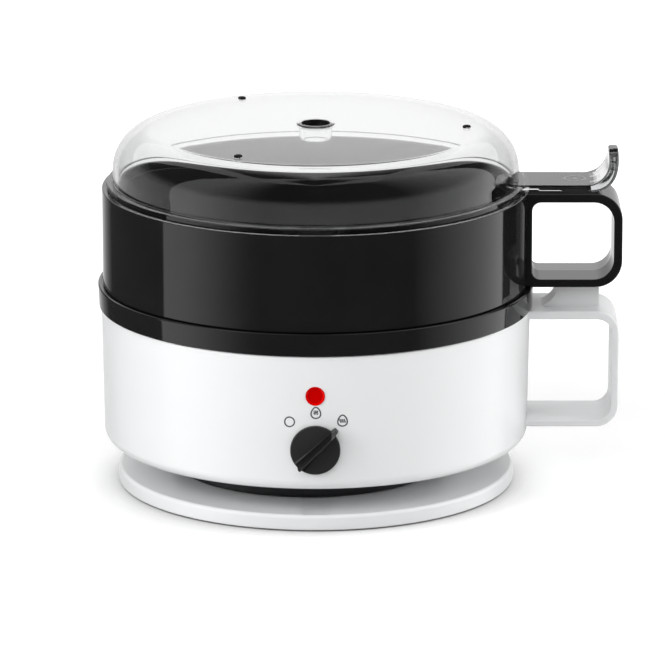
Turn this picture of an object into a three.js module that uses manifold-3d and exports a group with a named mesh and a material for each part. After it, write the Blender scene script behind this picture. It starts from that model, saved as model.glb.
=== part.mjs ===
/**
 * Egg cooker for seven eggs.
 *
 * A white housing with a heating bowl stands on a round base disc. A black egg carrier with
 * a loop handle sits in the collar of the housing and lifts out with its rack. A clear domed
 * lid sits on the carrier's rim and lifts by its tongue. A knob on the front turns the switch.
 *
 * Millimetres, +Z up. The origin is on the vertical axis of the round body, in the plane that
 * the rubber feet stand on. The knob faces -Y and both handles point along +X.
 */
import * as THREE from "three";
import { mergeVertices } from "three/addons/utils/BufferGeometryUtils.js";
import Module from "manifold-3d";

const wasm = await Module();
wasm.setup();

// ---------------------------------------------------------------- clearances and facets
const SEAT = 0.3; // between two pieces that rest on each other
const SLIP = 0.6; // radial play of a piece that lifts out of another
const TURN_PLAY = 0.4; // radial play of a turning piece
const RING_SIDES = 40; // facets round the large rings
const VENT_SIDES = 24; // facets round the lid's vent and the knob
const SMALL_SIDES = 16; // facets round bosses, holes and pins
const SCREW_SIDES = 10; // facets round screws and wires
const WELD = 1e-4; // corners closer than this are one

// ---------------------------------------------------------------- main radii, each from the one before it
const BODY_RADIUS = 89.5; // outside of the housing's foot
const HOUSING_FLARE = 1; // top of the housing wider than its foot
const COLLAR_OVERHANG = 1; // collar's foot outside the housing's top
const COLLAR_FLARE = 0.4;
const COLLAR_LIP = 1.7; // width of the lip round the carrier's seat
const CARRIER_PLAY = 0.8; // between the lip and the carrier's foot
const CARRIER_FLARE = 0.6;
const SPIGOT_SETBACK = 3.2; // spigot inside the carrier's foot
const HOUSING_TOP_RADIUS = BODY_RADIUS + HOUSING_FLARE;
const COLLAR_FOOT_RADIUS = HOUSING_TOP_RADIUS + COLLAR_OVERHANG;
const COLLAR_TOP_RADIUS = COLLAR_FOOT_RADIUS + COLLAR_FLARE;
const CARRIER_FOOT_RADIUS = COLLAR_TOP_RADIUS - COLLAR_LIP - CARRIER_PLAY;
const CARRIER_TOP_RADIUS = CARRIER_FOOT_RADIUS + CARRIER_FLARE;
const SPIGOT_RADIUS = CARRIER_FOOT_RADIUS - SPIGOT_SETBACK;
const COLLAR_BORE = SPIGOT_RADIUS + SLIP;

// ---------------------------------------------------------------- base disc
const FOOT_PROUD = 0.5; // feet below the disc
const FOOT_RADIUS = 6;
const FOOT_DEPTH = 1.4;
const FOOT_COUNT = 4;
const DISC_SETBACK = 5.5; // disc inside the housing's foot
const DISC_RADIUS = BODY_RADIUS - DISC_SETBACK;
const FOOT_INSET = 14; // ring of the feet inside the disc's edge
const FOOT_RING = DISC_RADIUS - FOOT_INSET;
const DISC_THICKNESS = 6.5;
const DISC_WALL = 2.2;
const DISC_ROUND = 1.4;
const UNDERPLATE_THICKNESS = 2;

// ---------------------------------------------------------------- cord drum
const CORD_GAP = 12; // free height between the disc and the housing
const CORD_ROOM = 27; // from the drum to the disc's edge
const DRUM_RADIUS = DISC_RADIUS - CORD_ROOM;
const DRUM_WALL = 2.5;
const DRUM_X = -3; // the drum stands a little off the axis
const DRUM_Y = -1.4;
const WIRE_WAY_RADIUS = 10; // hole in the drum's top and the housing's floor
const GLAND_RADIUS = 4.6;
const GLAND_BORE = 3.4;
const GLAND_FLANGE = 5.3;
const GLAND_FLANGE_DEPTH = 1.5;

// ---------------------------------------------------------------- housing
const HOUSING_HEIGHT = 57.7;
const HOUSING_ROUND = 5;
const HOUSING_WALL = 2.4;
const LOW_HANDLE_DROP = 0.7; // handle's top below the housing's top
const LOW_HANDLE_HEIGHT = 50;
const LOW_HANDLE_LENGTH = 37.2; // from the housing's top edge
const LOW_HANDLE_REACH = HOUSING_TOP_RADIUS + LOW_HANDLE_LENGTH;
const LOW_HANDLE_DEPTH = 32;
const LOW_HANDLE_STRAP = 2.85;
const LOW_HANDLE_ROUND = 9.5;
const POST_DEPTH = 12;
const POST_GAP = 2.5; // from the housing's top edge to the post
const POST_WIDTH = 26.8;
const POST_START = HOUSING_TOP_RADIUS + POST_GAP;
const POST_END = POST_START + POST_WIDTH;
const POST_SCOOP = 10.3; // radius of the hollow beside the collar

// ---------------------------------------------------------------- screws
const SCREW_RADIUS = 1.6;
const SCREW_HEAD_RADIUS = 3.4;
const SCREW_HEAD_DEPTH = 2.2;
const SCREW_BITE = 9; // thread length inside a boss
const BOSS_RADIUS = 4.4;
const SINK_BOSS_RADIUS = 6.2; // boss round a sunk screw head
const BASE_SCREW_INSET = 17; // ring of the base screws inside the drum
const BASE_SCREW_RING = DRUM_RADIUS - BASE_SCREW_INSET;
const BASE_SCREW_ANGLES = [30, 150, 270];
const COLLAR_POST_INSET = 10; // ring of the collar's posts inside the housing's top
const POST_RING = HOUSING_TOP_RADIUS - COLLAR_POST_INSET;
const COLLAR_SCREW_ANGLES = [90, 210, 330];

// ---------------------------------------------------------------- collar
const COLLAR_HEIGHT = 9.5;
const GROOVE_DEPTH = 0.3;
const SHELF_DROP = 8.2; // bowl shelf below the carrier's seat
const SHELF_THICKNESS = 2.2;
const BOWL_FLANGE_PLAY = 2.2; // from the collar's bore to the bowl's flange
const SHELF_LEDGE = 6.1; // shelf's width under the bowl's flange
const BOWL_FLANGE_RADIUS = COLLAR_BORE - BOWL_FLANGE_PLAY;
const SHELF_INNER_RADIUS = BOWL_FLANGE_RADIUS - SHELF_LEDGE;
const COLLAR_SKIRT_DEPTH = 6;
const COLLAR_SKIRT_WALL = 2.1;

// ---------------------------------------------------------------- heating parts
const BOWL_METAL = 1;
const BOWL_MOUTH_PLAY = 3.5; // from the shelf's edge to the bowl's mouth
const BOWL_TAPER = 10; // floor inside the mouth
const BOWL_MOUTH_RADIUS = SHELF_INNER_RADIUS - BOWL_MOUTH_PLAY;
const BOWL_FLOOR_RADIUS = BOWL_MOUTH_RADIUS - BOWL_TAPER;
const BOWL_DEPTH = 11;
const BOWL_ROUND = 5;
const SEAL_THICKNESS = 1.2;
const SEAL_INSET = 1; // seal inside the bowl's flange and the shelf's edge
const STUD_RADIUS = 2;
const STUD_LENGTH = 17;
const STUD_X = 22;
const ELEMENT_INSET = 19; // heating ring inside the bowl's floor
const ELEMENT_RING = BOWL_FLOOR_RADIUS - ELEMENT_INSET;
const ELEMENT_RADIUS = 3.2;
const ELEMENT_GAP_ANGLE = 36; // open angle between the element's two ends
const ELEMENT_BEND = 7; // radius of the bend into each tail
const ELEMENT_TAIL = 15;
const ELEMENT_STEPS = 46;
const PIN_RADIUS = 1.2;
const PIN_LENGTH = 5;
const SHIELD_INSET = 3; // shield inside the bowl's floor
const SHIELD_RADIUS = BOWL_FLOOR_RADIUS - SHIELD_INSET;
const SHIELD_METAL = 0.8;
const SHIELD_LIP = 4;
const SHIELD_DROP = 11.7; // shield's top below the bowl's underside
const SHIELD_HOLE = 17;
const THERMOSTAT_RADIUS = 9;
const THERMOSTAT_HEIGHT = 8;
const BLADE_WIDTH = 6.3;
const BLADE_LENGTH = 7;
const BLADE_THICKNESS = 0.8;
const BRACKET_WIDTH = 12;
const BRACKET_METAL = 1;
const BRACKET_FOOT = 5; // half the length of each foot
const BRACKET_SLOPE = 4; // length of the slope beside each foot
const FUSE_RADIUS = 2;
const FUSE_LENGTH = 14;
const FUSE_Y = -28;
const NUT_RADIUS = 4;
const NUT_HEIGHT = 3.2;

// ---------------------------------------------------------------- switch and knob
const KNOB_SHARE = 0.3146; // knob's axis, as a share of the housing's height
const KNOB_RADIUS = 10.35;
const KNOB_THICKNESS = 1.8;
const KNOB_ROUND = 0.5;
const KNOB_GAP = 0.4; // behind the knob
const KNOB_HUB_RADIUS = 5.2;
const KNOB_HUB_LENGTH = 5;
const GRIP_HEIGHT = 9.5;
const GRIP_HALF_WIDTH = 0.8;
const GRIP_TAIL = 9.6;
const GRIP_END = 10; // end of the grip's full height towards the pointer
const GRIP_FOOT_HALF_WIDTH = 3.2; // at the tail
const GRIP_FOOT_HEIGHT = 0.9;
const POINTER_HALF_WIDTH = 1.1;
const POINTER_HEIGHT = 4.5;
const POINTER_REACH = 12.7;
const POINTER_ANGLE = 45; // pointer at rest, from straight up towards the right
const SPINDLE_RADIUS = 3;
const SPINDLE_COVER = 0.7; // knob's front over the spindle's end
const SPINDLE_FLAT = 1.8; // flat's distance from the spindle's axis
const SWITCH_SETBACK = 9.5; // front face of the switch inside the housing's foot
const SWITCH_FACE = BODY_RADIUS - SWITCH_SETBACK;
const SWITCH_WIDTH = 22;
const SWITCH_DEPTH = 16;
const SWITCH_HEIGHT = 24;
const SWITCH_EAR = 1.6;
const SWITCH_SCREW_X = 15;
const SWITCH_BOSS_RADIUS = 3.2;
const SWITCH_SCREW_RADIUS = 1.1;
const SWITCH_SCREW_BITE = 4.5;
const SWITCH_HEAD_RADIUS = 2.4;
const SWITCH_HEAD_DEPTH = 1.4;

// ---------------------------------------------------------------- lamp
const LAMP_SHARE = 0.7106; // lens, as a share of the housing's height
const LENS_RADIUS = 4;
const LENS_PROUD = 0.3;
const LENS_FLANGE = 5.8;
const LENS_FLANGE_DEPTH = 1.2;
const HOLDER_LENGTH = 10;
const HOLDER_WALL = 1.6;
const CAPSULE_RADIUS = 2.6;
const CAPSULE_LENGTH = 9;

// ---------------------------------------------------------------- wiring
const BLOCK_WIDTH = 30;
const BLOCK_DEPTH = 12;
const BLOCK_HEIGHT = 13;
const BLOCK_Y = 34;
const WIRE_RADIUS = 1.1;
const WIRE_RISE = 2; // live wire above the terminal block
const WIRE_LEAD = 12; // straight run at the switch
const WIRE_DROP = 9; // wires below the shield's top
const SWITCHED_X = 6; // switched wire beside the switch's axis
const SWITCHED_Z = 4; // and above it
const WIRE_STEPS = 14;
const WIRE_SIDES = 6;

// ---------------------------------------------------------------- egg carrier and rack
const CARRIER_HEIGHT = 41;
const CARRIER_WALL = 2.4;
const SPIGOT_DEPTH = 5;
const SPIGOT_WALL = 2.2;
const RACK_LEDGE = 2.4; // thickness of the ledge that carries the rack
const RIM_WIDTH = 1.6;
const REBATE_DEPTH = 0.5;
const REBATE_WALL = 3.8; // wall below the lid's seat, rim included
const REBATE_THICKNESS = 1.6;
const HIGH_HANDLE_RISE = 0.8; // handle's underside above the carrier's underside
const HIGH_HANDLE_DROP = 0.4; // handle's top below the rim
const HIGH_HANDLE_LENGTH = 38.8; // from the carrier's top edge
const HIGH_HANDLE_REACH = CARRIER_TOP_RADIUS + HIGH_HANDLE_LENGTH;
const HIGH_HANDLE_DEPTH = 30;
const HIGH_HANDLE_STRAP = 3.2;
const HIGH_HANDLE_ROUND = 11.4;
const HIGH_HANDLE_ROOT = CARRIER_FOOT_RADIUS - 0.75 * CARRIER_WALL;
const HIGH_HANDLE_INNER_ROUND = 3.2;
const PAD_GAP = 13; // from the carrier's top edge to the pad
const PAD_WIDTH = 12.5;
const PAD_START = CARRIER_TOP_RADIUS + PAD_GAP;
const PAD_END = PAD_START + PAD_WIDTH;
const PAD_DEPTH = 25;
const PAD_HEIGHT = 1.8;
const RACK_THICKNESS = 2;
const CUP_INSET = 37.9; // ring of the cups inside the carrier's foot
const CUP_RING = CARRIER_FOOT_RADIUS - CUP_INSET;
const CUP_COUNT = 6;
const CUP_FOOT_RADIUS = 22.4;
const CUP_MOUTH_RADIUS = 18.6;
const CUP_WALL = 1.6;
const CUP_HEIGHT = 5.5;
const STEAM_HOLE_RADIUS = 3.2;
const STEAM_HOLE_INSET = 15.4; // outer ring of the steam holes inside the carrier's foot
const STEAM_HOLE_RINGS = [CUP_RING / Math.sqrt(3), CARRIER_FOOT_RADIUS - STEAM_HOLE_INSET];

// ---------------------------------------------------------------- lid
const LID_WALL = 2;
const DOME_SETBACK = 4.3; // dome inside the carrier's top edge
const DOME_RADIUS = CARRIER_TOP_RADIUS - DOME_SETBACK;
const DOME_WALL_HEIGHT = 5.1;
const SHOULDER_RADIUS = 17.5;
const CROWN = 1.5;
const FLANGE_PLAY = 0.4;
const FLANGE_THICKNESS = 2.7;
const LID_SPIGOT_DEPTH = 3.5;
const VENT_RIM_RADIUS = 8;
const VENT_TUBE_RADIUS = 6.9;
const VENT_SINK_RADIUS = 6;
const VENT_SINK_DEPTH = 3;
const VENT_BORE = 4.8;
const VENT_TUBE_DEPTH = 8.4;
const VENT_RIM_PROUD = 0.4;
const STEAM_VENT_RADIUS = 1.8;
const STEAM_VENT_INSET = 22.1; // ring of the small vents inside the dome
const STEAM_VENT_RING = DOME_RADIUS - STEAM_VENT_INSET;
const STEAM_VENT_ANGLES = [0, 120, 240];
const TONGUE_DEPTH = 25.8;
const TONGUE_THICKNESS = 2.6;
const TONGUE_BEND = 9.9;
const TONGUE_LENGTH = 37; // from the carrier's top edge
const TONGUE_REACH = CARRIER_TOP_RADIUS + TONGUE_LENGTH;
const TONGUE_TOP = 14.6; // tip above the tongue's flat
const TONGUE_CORNER = 9;
const TONGUE_TIP_ROUND = 1.2;

// ---------------------------------------------------------------- heights worked out from the above
const DISC_BOTTOM = FOOT_PROUD;
const DISC_TOP = DISC_BOTTOM + DISC_THICKNESS;
const HOUSING_BOTTOM = DISC_TOP + CORD_GAP;
const HOUSING_FLOOR = HOUSING_BOTTOM + HOUSING_WALL;
const HOUSING_TOP = HOUSING_BOTTOM + HOUSING_HEIGHT;
const KNOB_HEIGHT = HOUSING_BOTTOM + KNOB_SHARE * HOUSING_HEIGHT;
const LAMP_HEIGHT = HOUSING_BOTTOM + LAMP_SHARE * HOUSING_HEIGHT;
const COLLAR_BOTTOM = HOUSING_TOP + SEAT;
const COLLAR_TOP = COLLAR_BOTTOM + COLLAR_HEIGHT;
const CARRIER_SEAT = COLLAR_TOP - GROOVE_DEPTH;
const SHELF_TOP = CARRIER_SEAT - SHELF_DROP;
const SHELF_BOTTOM = SHELF_TOP - SHELF_THICKNESS;
const BOWL_FLANGE_BOTTOM = SHELF_TOP + SEAL_THICKNESS + 2 * SEAT;
const BOWL_UNDERSIDE = BOWL_FLANGE_BOTTOM + BOWL_METAL - BOWL_DEPTH;
const SHIELD_TOP = BOWL_UNDERSIDE - SHIELD_DROP;
const CARRIER_BOTTOM = CARRIER_SEAT + SEAT;
const CARRIER_TOP = CARRIER_BOTTOM + CARRIER_HEIGHT;
const HIGH_HANDLE_BOTTOM = CARRIER_BOTTOM + HIGH_HANDLE_RISE;
const HIGH_HANDLE_TOP = CARRIER_TOP - HIGH_HANDLE_DROP;
const LEDGE_TOP = CARRIER_BOTTOM + RACK_LEDGE;
const LID_SEAT = CARRIER_TOP - REBATE_DEPTH;
const FLANGE_BOTTOM = LID_SEAT + SEAT;
const FLANGE_TOP = FLANGE_BOTTOM + FLANGE_THICKNESS;
const SHOULDER_START = FLANGE_TOP + DOME_WALL_HEIGHT;
const DOME_TOP = SHOULDER_START + SHOULDER_RADIUS + CROWN;
const TONGUE_BOTTOM = CARRIER_TOP + SEAT;
const LOW_HANDLE_TOP = HOUSING_TOP - LOW_HANDLE_DROP;

// radii worked out from the above
const REBATE_RADIUS = CARRIER_TOP_RADIUS - RIM_WIDTH;
const LID_SEAT_INNER = CARRIER_TOP_RADIUS - REBATE_WALL;
const FLANGE_RADIUS = REBATE_RADIUS - FLANGE_PLAY;
const LID_SPIGOT_RADIUS = LID_SEAT_INNER - SLIP;

// ---------------------------------------------------------------- finishes
const FINISHES = {
  whitePlastic: { color: 0xe8e9ea, roughness: 0.3 },
  blackPlastic: { color: 0x1a1a1b, roughness: 0.25 },
  clearPlastic: { color: 0xf2f5f6, roughness: 0.05, opacity: 0.35, transparent: true },
  redLens: { color: 0xc40808, roughness: 0.2 },
  rubber: { color: 0x202022, roughness: 0.8 },
  silicone: { color: 0xb9bcbf, roughness: 0.7 },
  steel: { color: 0xb9bbbd, roughness: 0.3, metalness: 1 },
  aluminium: { color: 0xcfd1d3, roughness: 0.4, metalness: 1 },
  brass: { color: 0xc9a84e, roughness: 0.35, metalness: 1 },
  creamPlastic: { color: 0xd9d2bd, roughness: 0.5 },
  wireLive: { color: 0x6b3d22, roughness: 0.5 },
  wireNeutral: { color: 0x2c5fa8, roughness: 0.5 },
  wireSwitched: { color: 0xa8242a, roughness: 0.5 },
};

// ---------------------------------------------------------------- outlines and solids
const radians = THREE.MathUtils.degToRad;

/** The XY point at a radius and an angle in degrees. */
function polar(radius, degrees) {
  return [radius * Math.cos(radians(degrees)), radius * Math.sin(radians(degrees))];
}

/** Points of a closed outline from its corners [x, y, round]; a rounded corner becomes an arc. */
function outline(corners, arcSteps = 3) {
  const count = corners.length;
  return corners.flatMap(([x, y, round = 0], i) => {
    const corner = new THREE.Vector2(x, y);
    if (round === 0) return [corner];
    const before = new THREE.Vector2(...corners[(i + count - 1) % count]).sub(corner);
    const after = new THREE.Vector2(...corners[(i + 1) % count]).sub(corner);
    const half = Math.acos(before.dot(after) / (before.length() * after.length())) / 2;
    const reach = Math.min(round / Math.tan(half), 0.48 * before.length(), 0.48 * after.length());
    const radius = reach * Math.tan(half);
    const inward = before.clone().normalize().add(after.clone().normalize()).normalize();
    const centre = corner.clone().addScaledVector(inward, radius / Math.sin(half));
    const start = corner.clone().addScaledVector(before.normalize(), reach).sub(centre);
    const end = corner.clone().addScaledVector(after.normalize(), reach).sub(centre);
    const sweep = Math.atan2(start.cross(end), start.dot(end));
    return Array.from({ length: arcSteps + 1 }, (_, step) =>
      start.clone().rotateAround(new THREE.Vector2(), (sweep * step) / arcSteps).add(centre),
    );
  });
}

/** A solid from a closed geometry, with its repeated corners merged and flat facets dropped. */
function solid(geometry) {
  const bare = geometry.clone();
  for (const name of Object.keys(bare.attributes)) if (name !== "position") bare.deleteAttribute(name);
  const merged = mergeVertices(bare, WELD);
  const corners = merged.index.array;
  const facets = [];
  for (let i = 0; i < corners.length; i += 3) {
    const [a, b, c] = corners.slice(i, i + 3);
    if (a !== b && b !== c && c !== a) facets.push(a, b, c);
  }
  return new wasm.Manifold(
    new wasm.Mesh({
      numProp: 3,
      vertProperties: new Float32Array(merged.attributes.position.array),
      triVerts: new Uint32Array(facets),
    }),
  );
}

/** A solid of revolution about Z from its outline [r, z, round], given anticlockwise. */
function turned(corners, sides = RING_SIDES) {
  const points = outline(corners);
  const onAxis = corners[0][0] === 0 && corners.at(-1)[0] === 0;
  if (!onAxis) points.push(points[0].clone());
  return solid(new THREE.LatheGeometry(points, sides).rotateX(Math.PI / 2));
}

/** A cylinder along Z between two heights, at a place in XY; it may taper to another radius. */
function post(radius, low, high, [x, y] = [0, 0], sides = SMALL_SIDES, topRadius = radius) {
  const geometry = new THREE.CylinderGeometry(topRadius, radius, high - low, sides);
  return solid(geometry.rotateX(Math.PI / 2).translate(x, y, (low + high) / 2));
}

/** A cylinder along Y between two places, at a place in X and Z. */
function bar(radius, front, back, [x, z], sides = SMALL_SIDES) {
  const geometry = new THREE.CylinderGeometry(radius, radius, back - front, sides);
  return solid(geometry.translate(x, (front + back) / 2, z));
}

/** A box between its low and high corners. */
function block(low, high) {
  const size = high.map((value, i) => value - low[i]);
  const middle = high.map((value, i) => (value + low[i]) / 2);
  return solid(new THREE.BoxGeometry(...size).translate(...middle));
}

/** A plate from an outline in X and Z, centred on Y = 0, with an optional window. */
function plate(corners, depth, window = null) {
  const shape = new THREE.Shape(outline(corners));
  if (window) shape.holes.push(new THREE.Path(outline(window)));
  const geometry = new THREE.ExtrudeGeometry(shape, { depth, bevelEnabled: false });
  return solid(geometry.rotateX(Math.PI / 2).translate(0, depth / 2, 0));
}

/** A round bar swept along a smooth line through the points. */
function swept(points, radius, steps, sides = 8) {
  const shape = new THREE.Shape().absarc(0, 0, radius, 0, 2 * Math.PI);
  const section = new THREE.Shape(shape.getSpacedPoints(sides).slice(0, sides));
  const line = new THREE.CatmullRomCurve3(points.map((point) => new THREE.Vector3(...point)));
  return solid(new THREE.ExtrudeGeometry(section, { steps, extrudePath: line }));
}

/** All solids joined into one. */
function joined(...solids) {
  return solids.reduce((whole, next) => whole.add(next));
}

/** The first solid with all the others cut out of it. */
function cut(whole, ...tools) {
  return tools.reduce((rest, tool) => rest.subtract(tool), whole);
}

/** A named mesh with its own material. */
function piece(name, body, finish, place = [0, 0, 0]) {
  const { vertProperties, triVerts } = body.getMesh();
  const geometry = new THREE.BufferGeometry();
  geometry.setAttribute("position", new THREE.BufferAttribute(new Float32Array(vertProperties), 3));
  geometry.setIndex(new THREE.BufferAttribute(new Uint32Array(triVerts), 1));
  geometry.computeVertexNormals();
  const mesh = new THREE.Mesh(geometry, new THREE.MeshStandardMaterial(FINISHES[finish]));
  mesh.name = name;
  mesh.position.set(...place);
  return mesh;
}

/** Radius of the housing's outer wall at a height. */
function housingRadius(z) {
  const share = (z - HOUSING_BOTTOM) / HOUSING_HEIGHT;
  return BODY_RADIUS + share * (HOUSING_TOP_RADIUS - BODY_RADIUS);
}

/** The conical inside of the housing between two heights, used to trim what meets the wall. */
function housingInside(low, high) {
  const [lowRadius, highRadius] = [low, high].map((z) => housingRadius(z) - HOUSING_WALL);
  return post(lowRadius, low, high, [0, 0], RING_SIDES, highRadius);
}

const SCREW_HOLE = SCREW_RADIUS + SEAT;
const HEAD_HOLE = SCREW_HEAD_RADIUS + SEAT;
const SINK_DEPTH = SCREW_HEAD_DEPTH + 2 * SEAT; // counterbore that hides a screw head
const baseScrewSpots = BASE_SCREW_ANGLES.map((angle) => polar(BASE_SCREW_RING, angle));
const collarScrewSpots = COLLAR_SCREW_ANGLES.map((angle) => polar(POST_RING, angle));
const footSpots = Array.from({ length: FOOT_COUNT }, (_, i) => polar(FOOT_RING, 45 + (i * 360) / FOOT_COUNT));
const studSpots = [[-STUD_X, 0], [STUD_X, 0]];

/** A screw pointing up, with its head's underside at z = 0. */
function screw(length, radius = SCREW_RADIUS, headRadius = SCREW_HEAD_RADIUS, headDepth = SCREW_HEAD_DEPTH) {
  const slot = block([-headRadius, -0.4, -headDepth - 1], [headRadius, 0.4, 0.6 - headDepth]);
  const head = post(headRadius, -headDepth, 0, [0, 0], SCREW_SIDES);
  return cut(joined(head, post(radius, -0.1, length, [0, 0], SCREW_SIDES)), slot);
}

// ---------------------------------------------------------------- base
/** The white disc: a plate with a skirt, and holes for the screws. */
function baseDisc() {
  const inner = DISC_RADIUS - DISC_WALL;
  const shell = turned([
    [0, DISC_TOP - DISC_WALL],
    [inner, DISC_TOP - DISC_WALL],
    [inner, DISC_BOTTOM],
    [DISC_RADIUS, DISC_BOTTOM, DISC_ROUND / 2],
    [DISC_RADIUS, DISC_TOP, DISC_ROUND],
    [0, DISC_TOP],
  ]);
  const holes = baseScrewSpots.map((spot) => post(SCREW_HOLE, DISC_BOTTOM, DISC_TOP + 1, spot));
  return cut(shell, ...holes);
}

/** The flat plate that closes the disc from below, with sunk screw holes and foot pockets. */
function underplate() {
  const radius = DISC_RADIUS - DISC_WALL - SEAT;
  const top = DISC_BOTTOM + UNDERPLATE_THICKNESS;
  const under = DISC_TOP - DISC_WALL - SEAT;
  const bosses = baseScrewSpots.map((spot) => post(SINK_BOSS_RADIUS, DISC_BOTTOM, under, spot));
  const heads = baseScrewSpots.map((spot) => post(HEAD_HOLE, -1, DISC_BOTTOM + SINK_DEPTH, spot));
  const holes = baseScrewSpots.map((spot) => post(SCREW_HOLE, -1, under + 1, spot));
  const pocket = FOOT_DEPTH - FOOT_PROUD + SEAT;
  const pockets = footSpots.map((spot) => post(FOOT_RADIUS + SEAT, -1, DISC_BOTTOM + pocket, spot));
  const sheet = post(radius, DISC_BOTTOM, top, [0, 0], RING_SIDES);
  return cut(joined(sheet, ...bosses), ...heads, ...holes, ...pockets);
}

/** The black drum that the cord winds round, with its top plate and three screw tubes. */
function cordDrum() {
  const low = DISC_TOP + SEAT;
  const high = HOUSING_BOTTOM - SEAT;
  const centre = [DRUM_X, DRUM_Y];
  const outside = post(DRUM_RADIUS, low, high, centre, RING_SIDES);
  const inside = post(DRUM_RADIUS - DRUM_WALL, low - 1, high - DRUM_WALL, centre, RING_SIDES);
  const tubes = baseScrewSpots.map((spot) => post(BOSS_RADIUS, low, high, spot));
  const holes = baseScrewSpots.map((spot) => post(SCREW_HOLE, low - 1, high + 1, spot));
  const wireWay = post(WIRE_WAY_RADIUS, low, high + 1);
  const back = DRUM_Y + DRUM_RADIUS;
  const glandHole = bar(GLAND_RADIUS + SEAT, back - 2 * DRUM_WALL, back + 1, [DRUM_X, (low + high) / 2]);
  return cut(joined(cut(outside, inside), ...tubes), ...holes, wireWay, glandHole);
}

/** The rubber gland for the mains cord in the drum's back wall. */
function cordGland() {
  const z = (DISC_TOP + HOUSING_BOTTOM) / 2;
  const wallBack = DRUM_Y + DRUM_RADIUS;
  const spot = [DRUM_X, z];
  const body = bar(GLAND_RADIUS, wallBack - DRUM_WALL - 2, wallBack + SEAT + 0.1, spot);
  const flange = bar(GLAND_FLANGE, wallBack + SEAT, wallBack + SEAT + GLAND_FLANGE_DEPTH, spot);
  const bore = bar(GLAND_BORE, wallBack - 2 * DRUM_WALL - 2, wallBack + 2 * GLAND_FLANGE_DEPTH, spot);
  return cut(joined(body, flange), bore);
}

/** The loop handle of the housing with the post that carries the upper handle. */
function lowHandle() {
  const root = housingRadius(HOUSING_BOTTOM) - HOUSING_WALL - 2;
  const bottom = LOW_HANDLE_TOP - LOW_HANDLE_HEIGHT;
  const inner = LOW_HANDLE_REACH - LOW_HANDLE_STRAP;
  const innerRound = LOW_HANDLE_ROUND - LOW_HANDLE_STRAP;
  const loop = plate(
    [
      [root, bottom],
      [LOW_HANDLE_REACH, bottom, LOW_HANDLE_ROUND],
      [LOW_HANDLE_REACH, LOW_HANDLE_TOP, LOW_HANDLE_ROUND],
      [root, LOW_HANDLE_TOP],
      [root, LOW_HANDLE_TOP - LOW_HANDLE_STRAP],
      [inner, LOW_HANDLE_TOP - LOW_HANDLE_STRAP, innerRound],
      [inner, bottom + LOW_HANDLE_STRAP, innerRound],
      [root, bottom + LOW_HANDLE_STRAP],
    ],
    LOW_HANDLE_DEPTH,
  );
  const restTop = HIGH_HANDLE_BOTTOM - SEAT;
  const rest = plate(
    [
      [POST_START, LOW_HANDLE_TOP - 1],
      [POST_END, LOW_HANDLE_TOP - 1],
      [POST_END, restTop],
      [POST_START, restTop],
    ],
    POST_DEPTH,
  );
  const scoop = bar(POST_SCOOP, -POST_DEPTH, POST_DEPTH, [POST_START, restTop - 0.7], 2 * SMALL_SIDES);
  const aboveStrap = block([0, -POST_DEPTH, LOW_HANDLE_TOP], [2 * POST_END, POST_DEPTH, restTop + 1]);
  return joined(loop, cut(rest, scoop.intersect(aboveStrap)));
}

/** The white housing: a cup with a rounded foot, bosses inside, and its handle. */
function housing() {
  const innerFoot = BODY_RADIUS - HOUSING_WALL;
  const cup = turned([
    [WIRE_WAY_RADIUS, HOUSING_BOTTOM],
    [BODY_RADIUS, HOUSING_BOTTOM, HOUSING_ROUND],
    [HOUSING_TOP_RADIUS, HOUSING_TOP],
    [HOUSING_TOP_RADIUS - HOUSING_WALL, HOUSING_TOP],
    [innerFoot, HOUSING_FLOOR, HOUSING_ROUND - HOUSING_WALL],
    [WIRE_WAY_RADIUS, HOUSING_FLOOR],
  ]);
  const inside = housingInside(HOUSING_FLOOR, HOUSING_TOP + 1);
  const bossTop = HOUSING_FLOOR + SCREW_BITE;
  const bosses = baseScrewSpots.map((spot) => post(BOSS_RADIUS, HOUSING_BOTTOM, bossTop, spot));
  const holes = baseScrewSpots.map((spot) => post(SCREW_HOLE, HOUSING_BOTTOM - 1, bossTop + 1, spot));
  const sinkTop = HOUSING_BOTTOM + SINK_DEPTH + HOUSING_WALL;
  const sinks = collarScrewSpots.map((spot) => post(SINK_BOSS_RADIUS, HOUSING_FLOOR - 1, sinkTop, spot));
  const heads = collarScrewSpots.map((spot) =>
    post(HEAD_HOLE, HOUSING_BOTTOM - 1, HOUSING_BOTTOM + SINK_DEPTH, spot));
  const sinkHoles = collarScrewSpots.map((spot) => post(SCREW_HOLE, HOUSING_BOTTOM, sinkTop + 1, spot));
  const wallMiddle = housingRadius(KNOB_HEIGHT) - HOUSING_WALL / 2;
  const bossRoot = Math.sqrt(wallMiddle ** 2 - (SWITCH_SCREW_X + SWITCH_BOSS_RADIUS) ** 2);
  const switchBosses = [-1, 1].map((side) =>
    bar(SWITCH_BOSS_RADIUS, -bossRoot, -SWITCH_FACE - SEAT, [side * SWITCH_SCREW_X, KNOB_HEIGHT]));
  const switchHoles = [-1, 1].map((side) =>
    bar(SWITCH_SCREW_RADIUS + SEAT, -SWITCH_FACE - SWITCH_SCREW_BITE - 2 * SEAT, -SWITCH_FACE + 1,
      [side * SWITCH_SCREW_X, KNOB_HEIGHT]));
  const hubHole = bar(KNOB_HUB_RADIUS + TURN_PLAY, -HOUSING_TOP_RADIUS - 1, -SWITCH_FACE, [0, KNOB_HEIGHT]);
  const lensHole = bar(LENS_RADIUS + SEAT, -HOUSING_TOP_RADIUS - 1, -SWITCH_FACE, [0, LAMP_HEIGHT]);
  const body = joined(cup, cut(lowHandle(), inside), ...bosses, ...sinks, ...switchBosses);
  return cut(body, ...holes, ...heads, ...sinkHoles, ...switchHoles, hubHole, lensHole);
}

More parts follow.
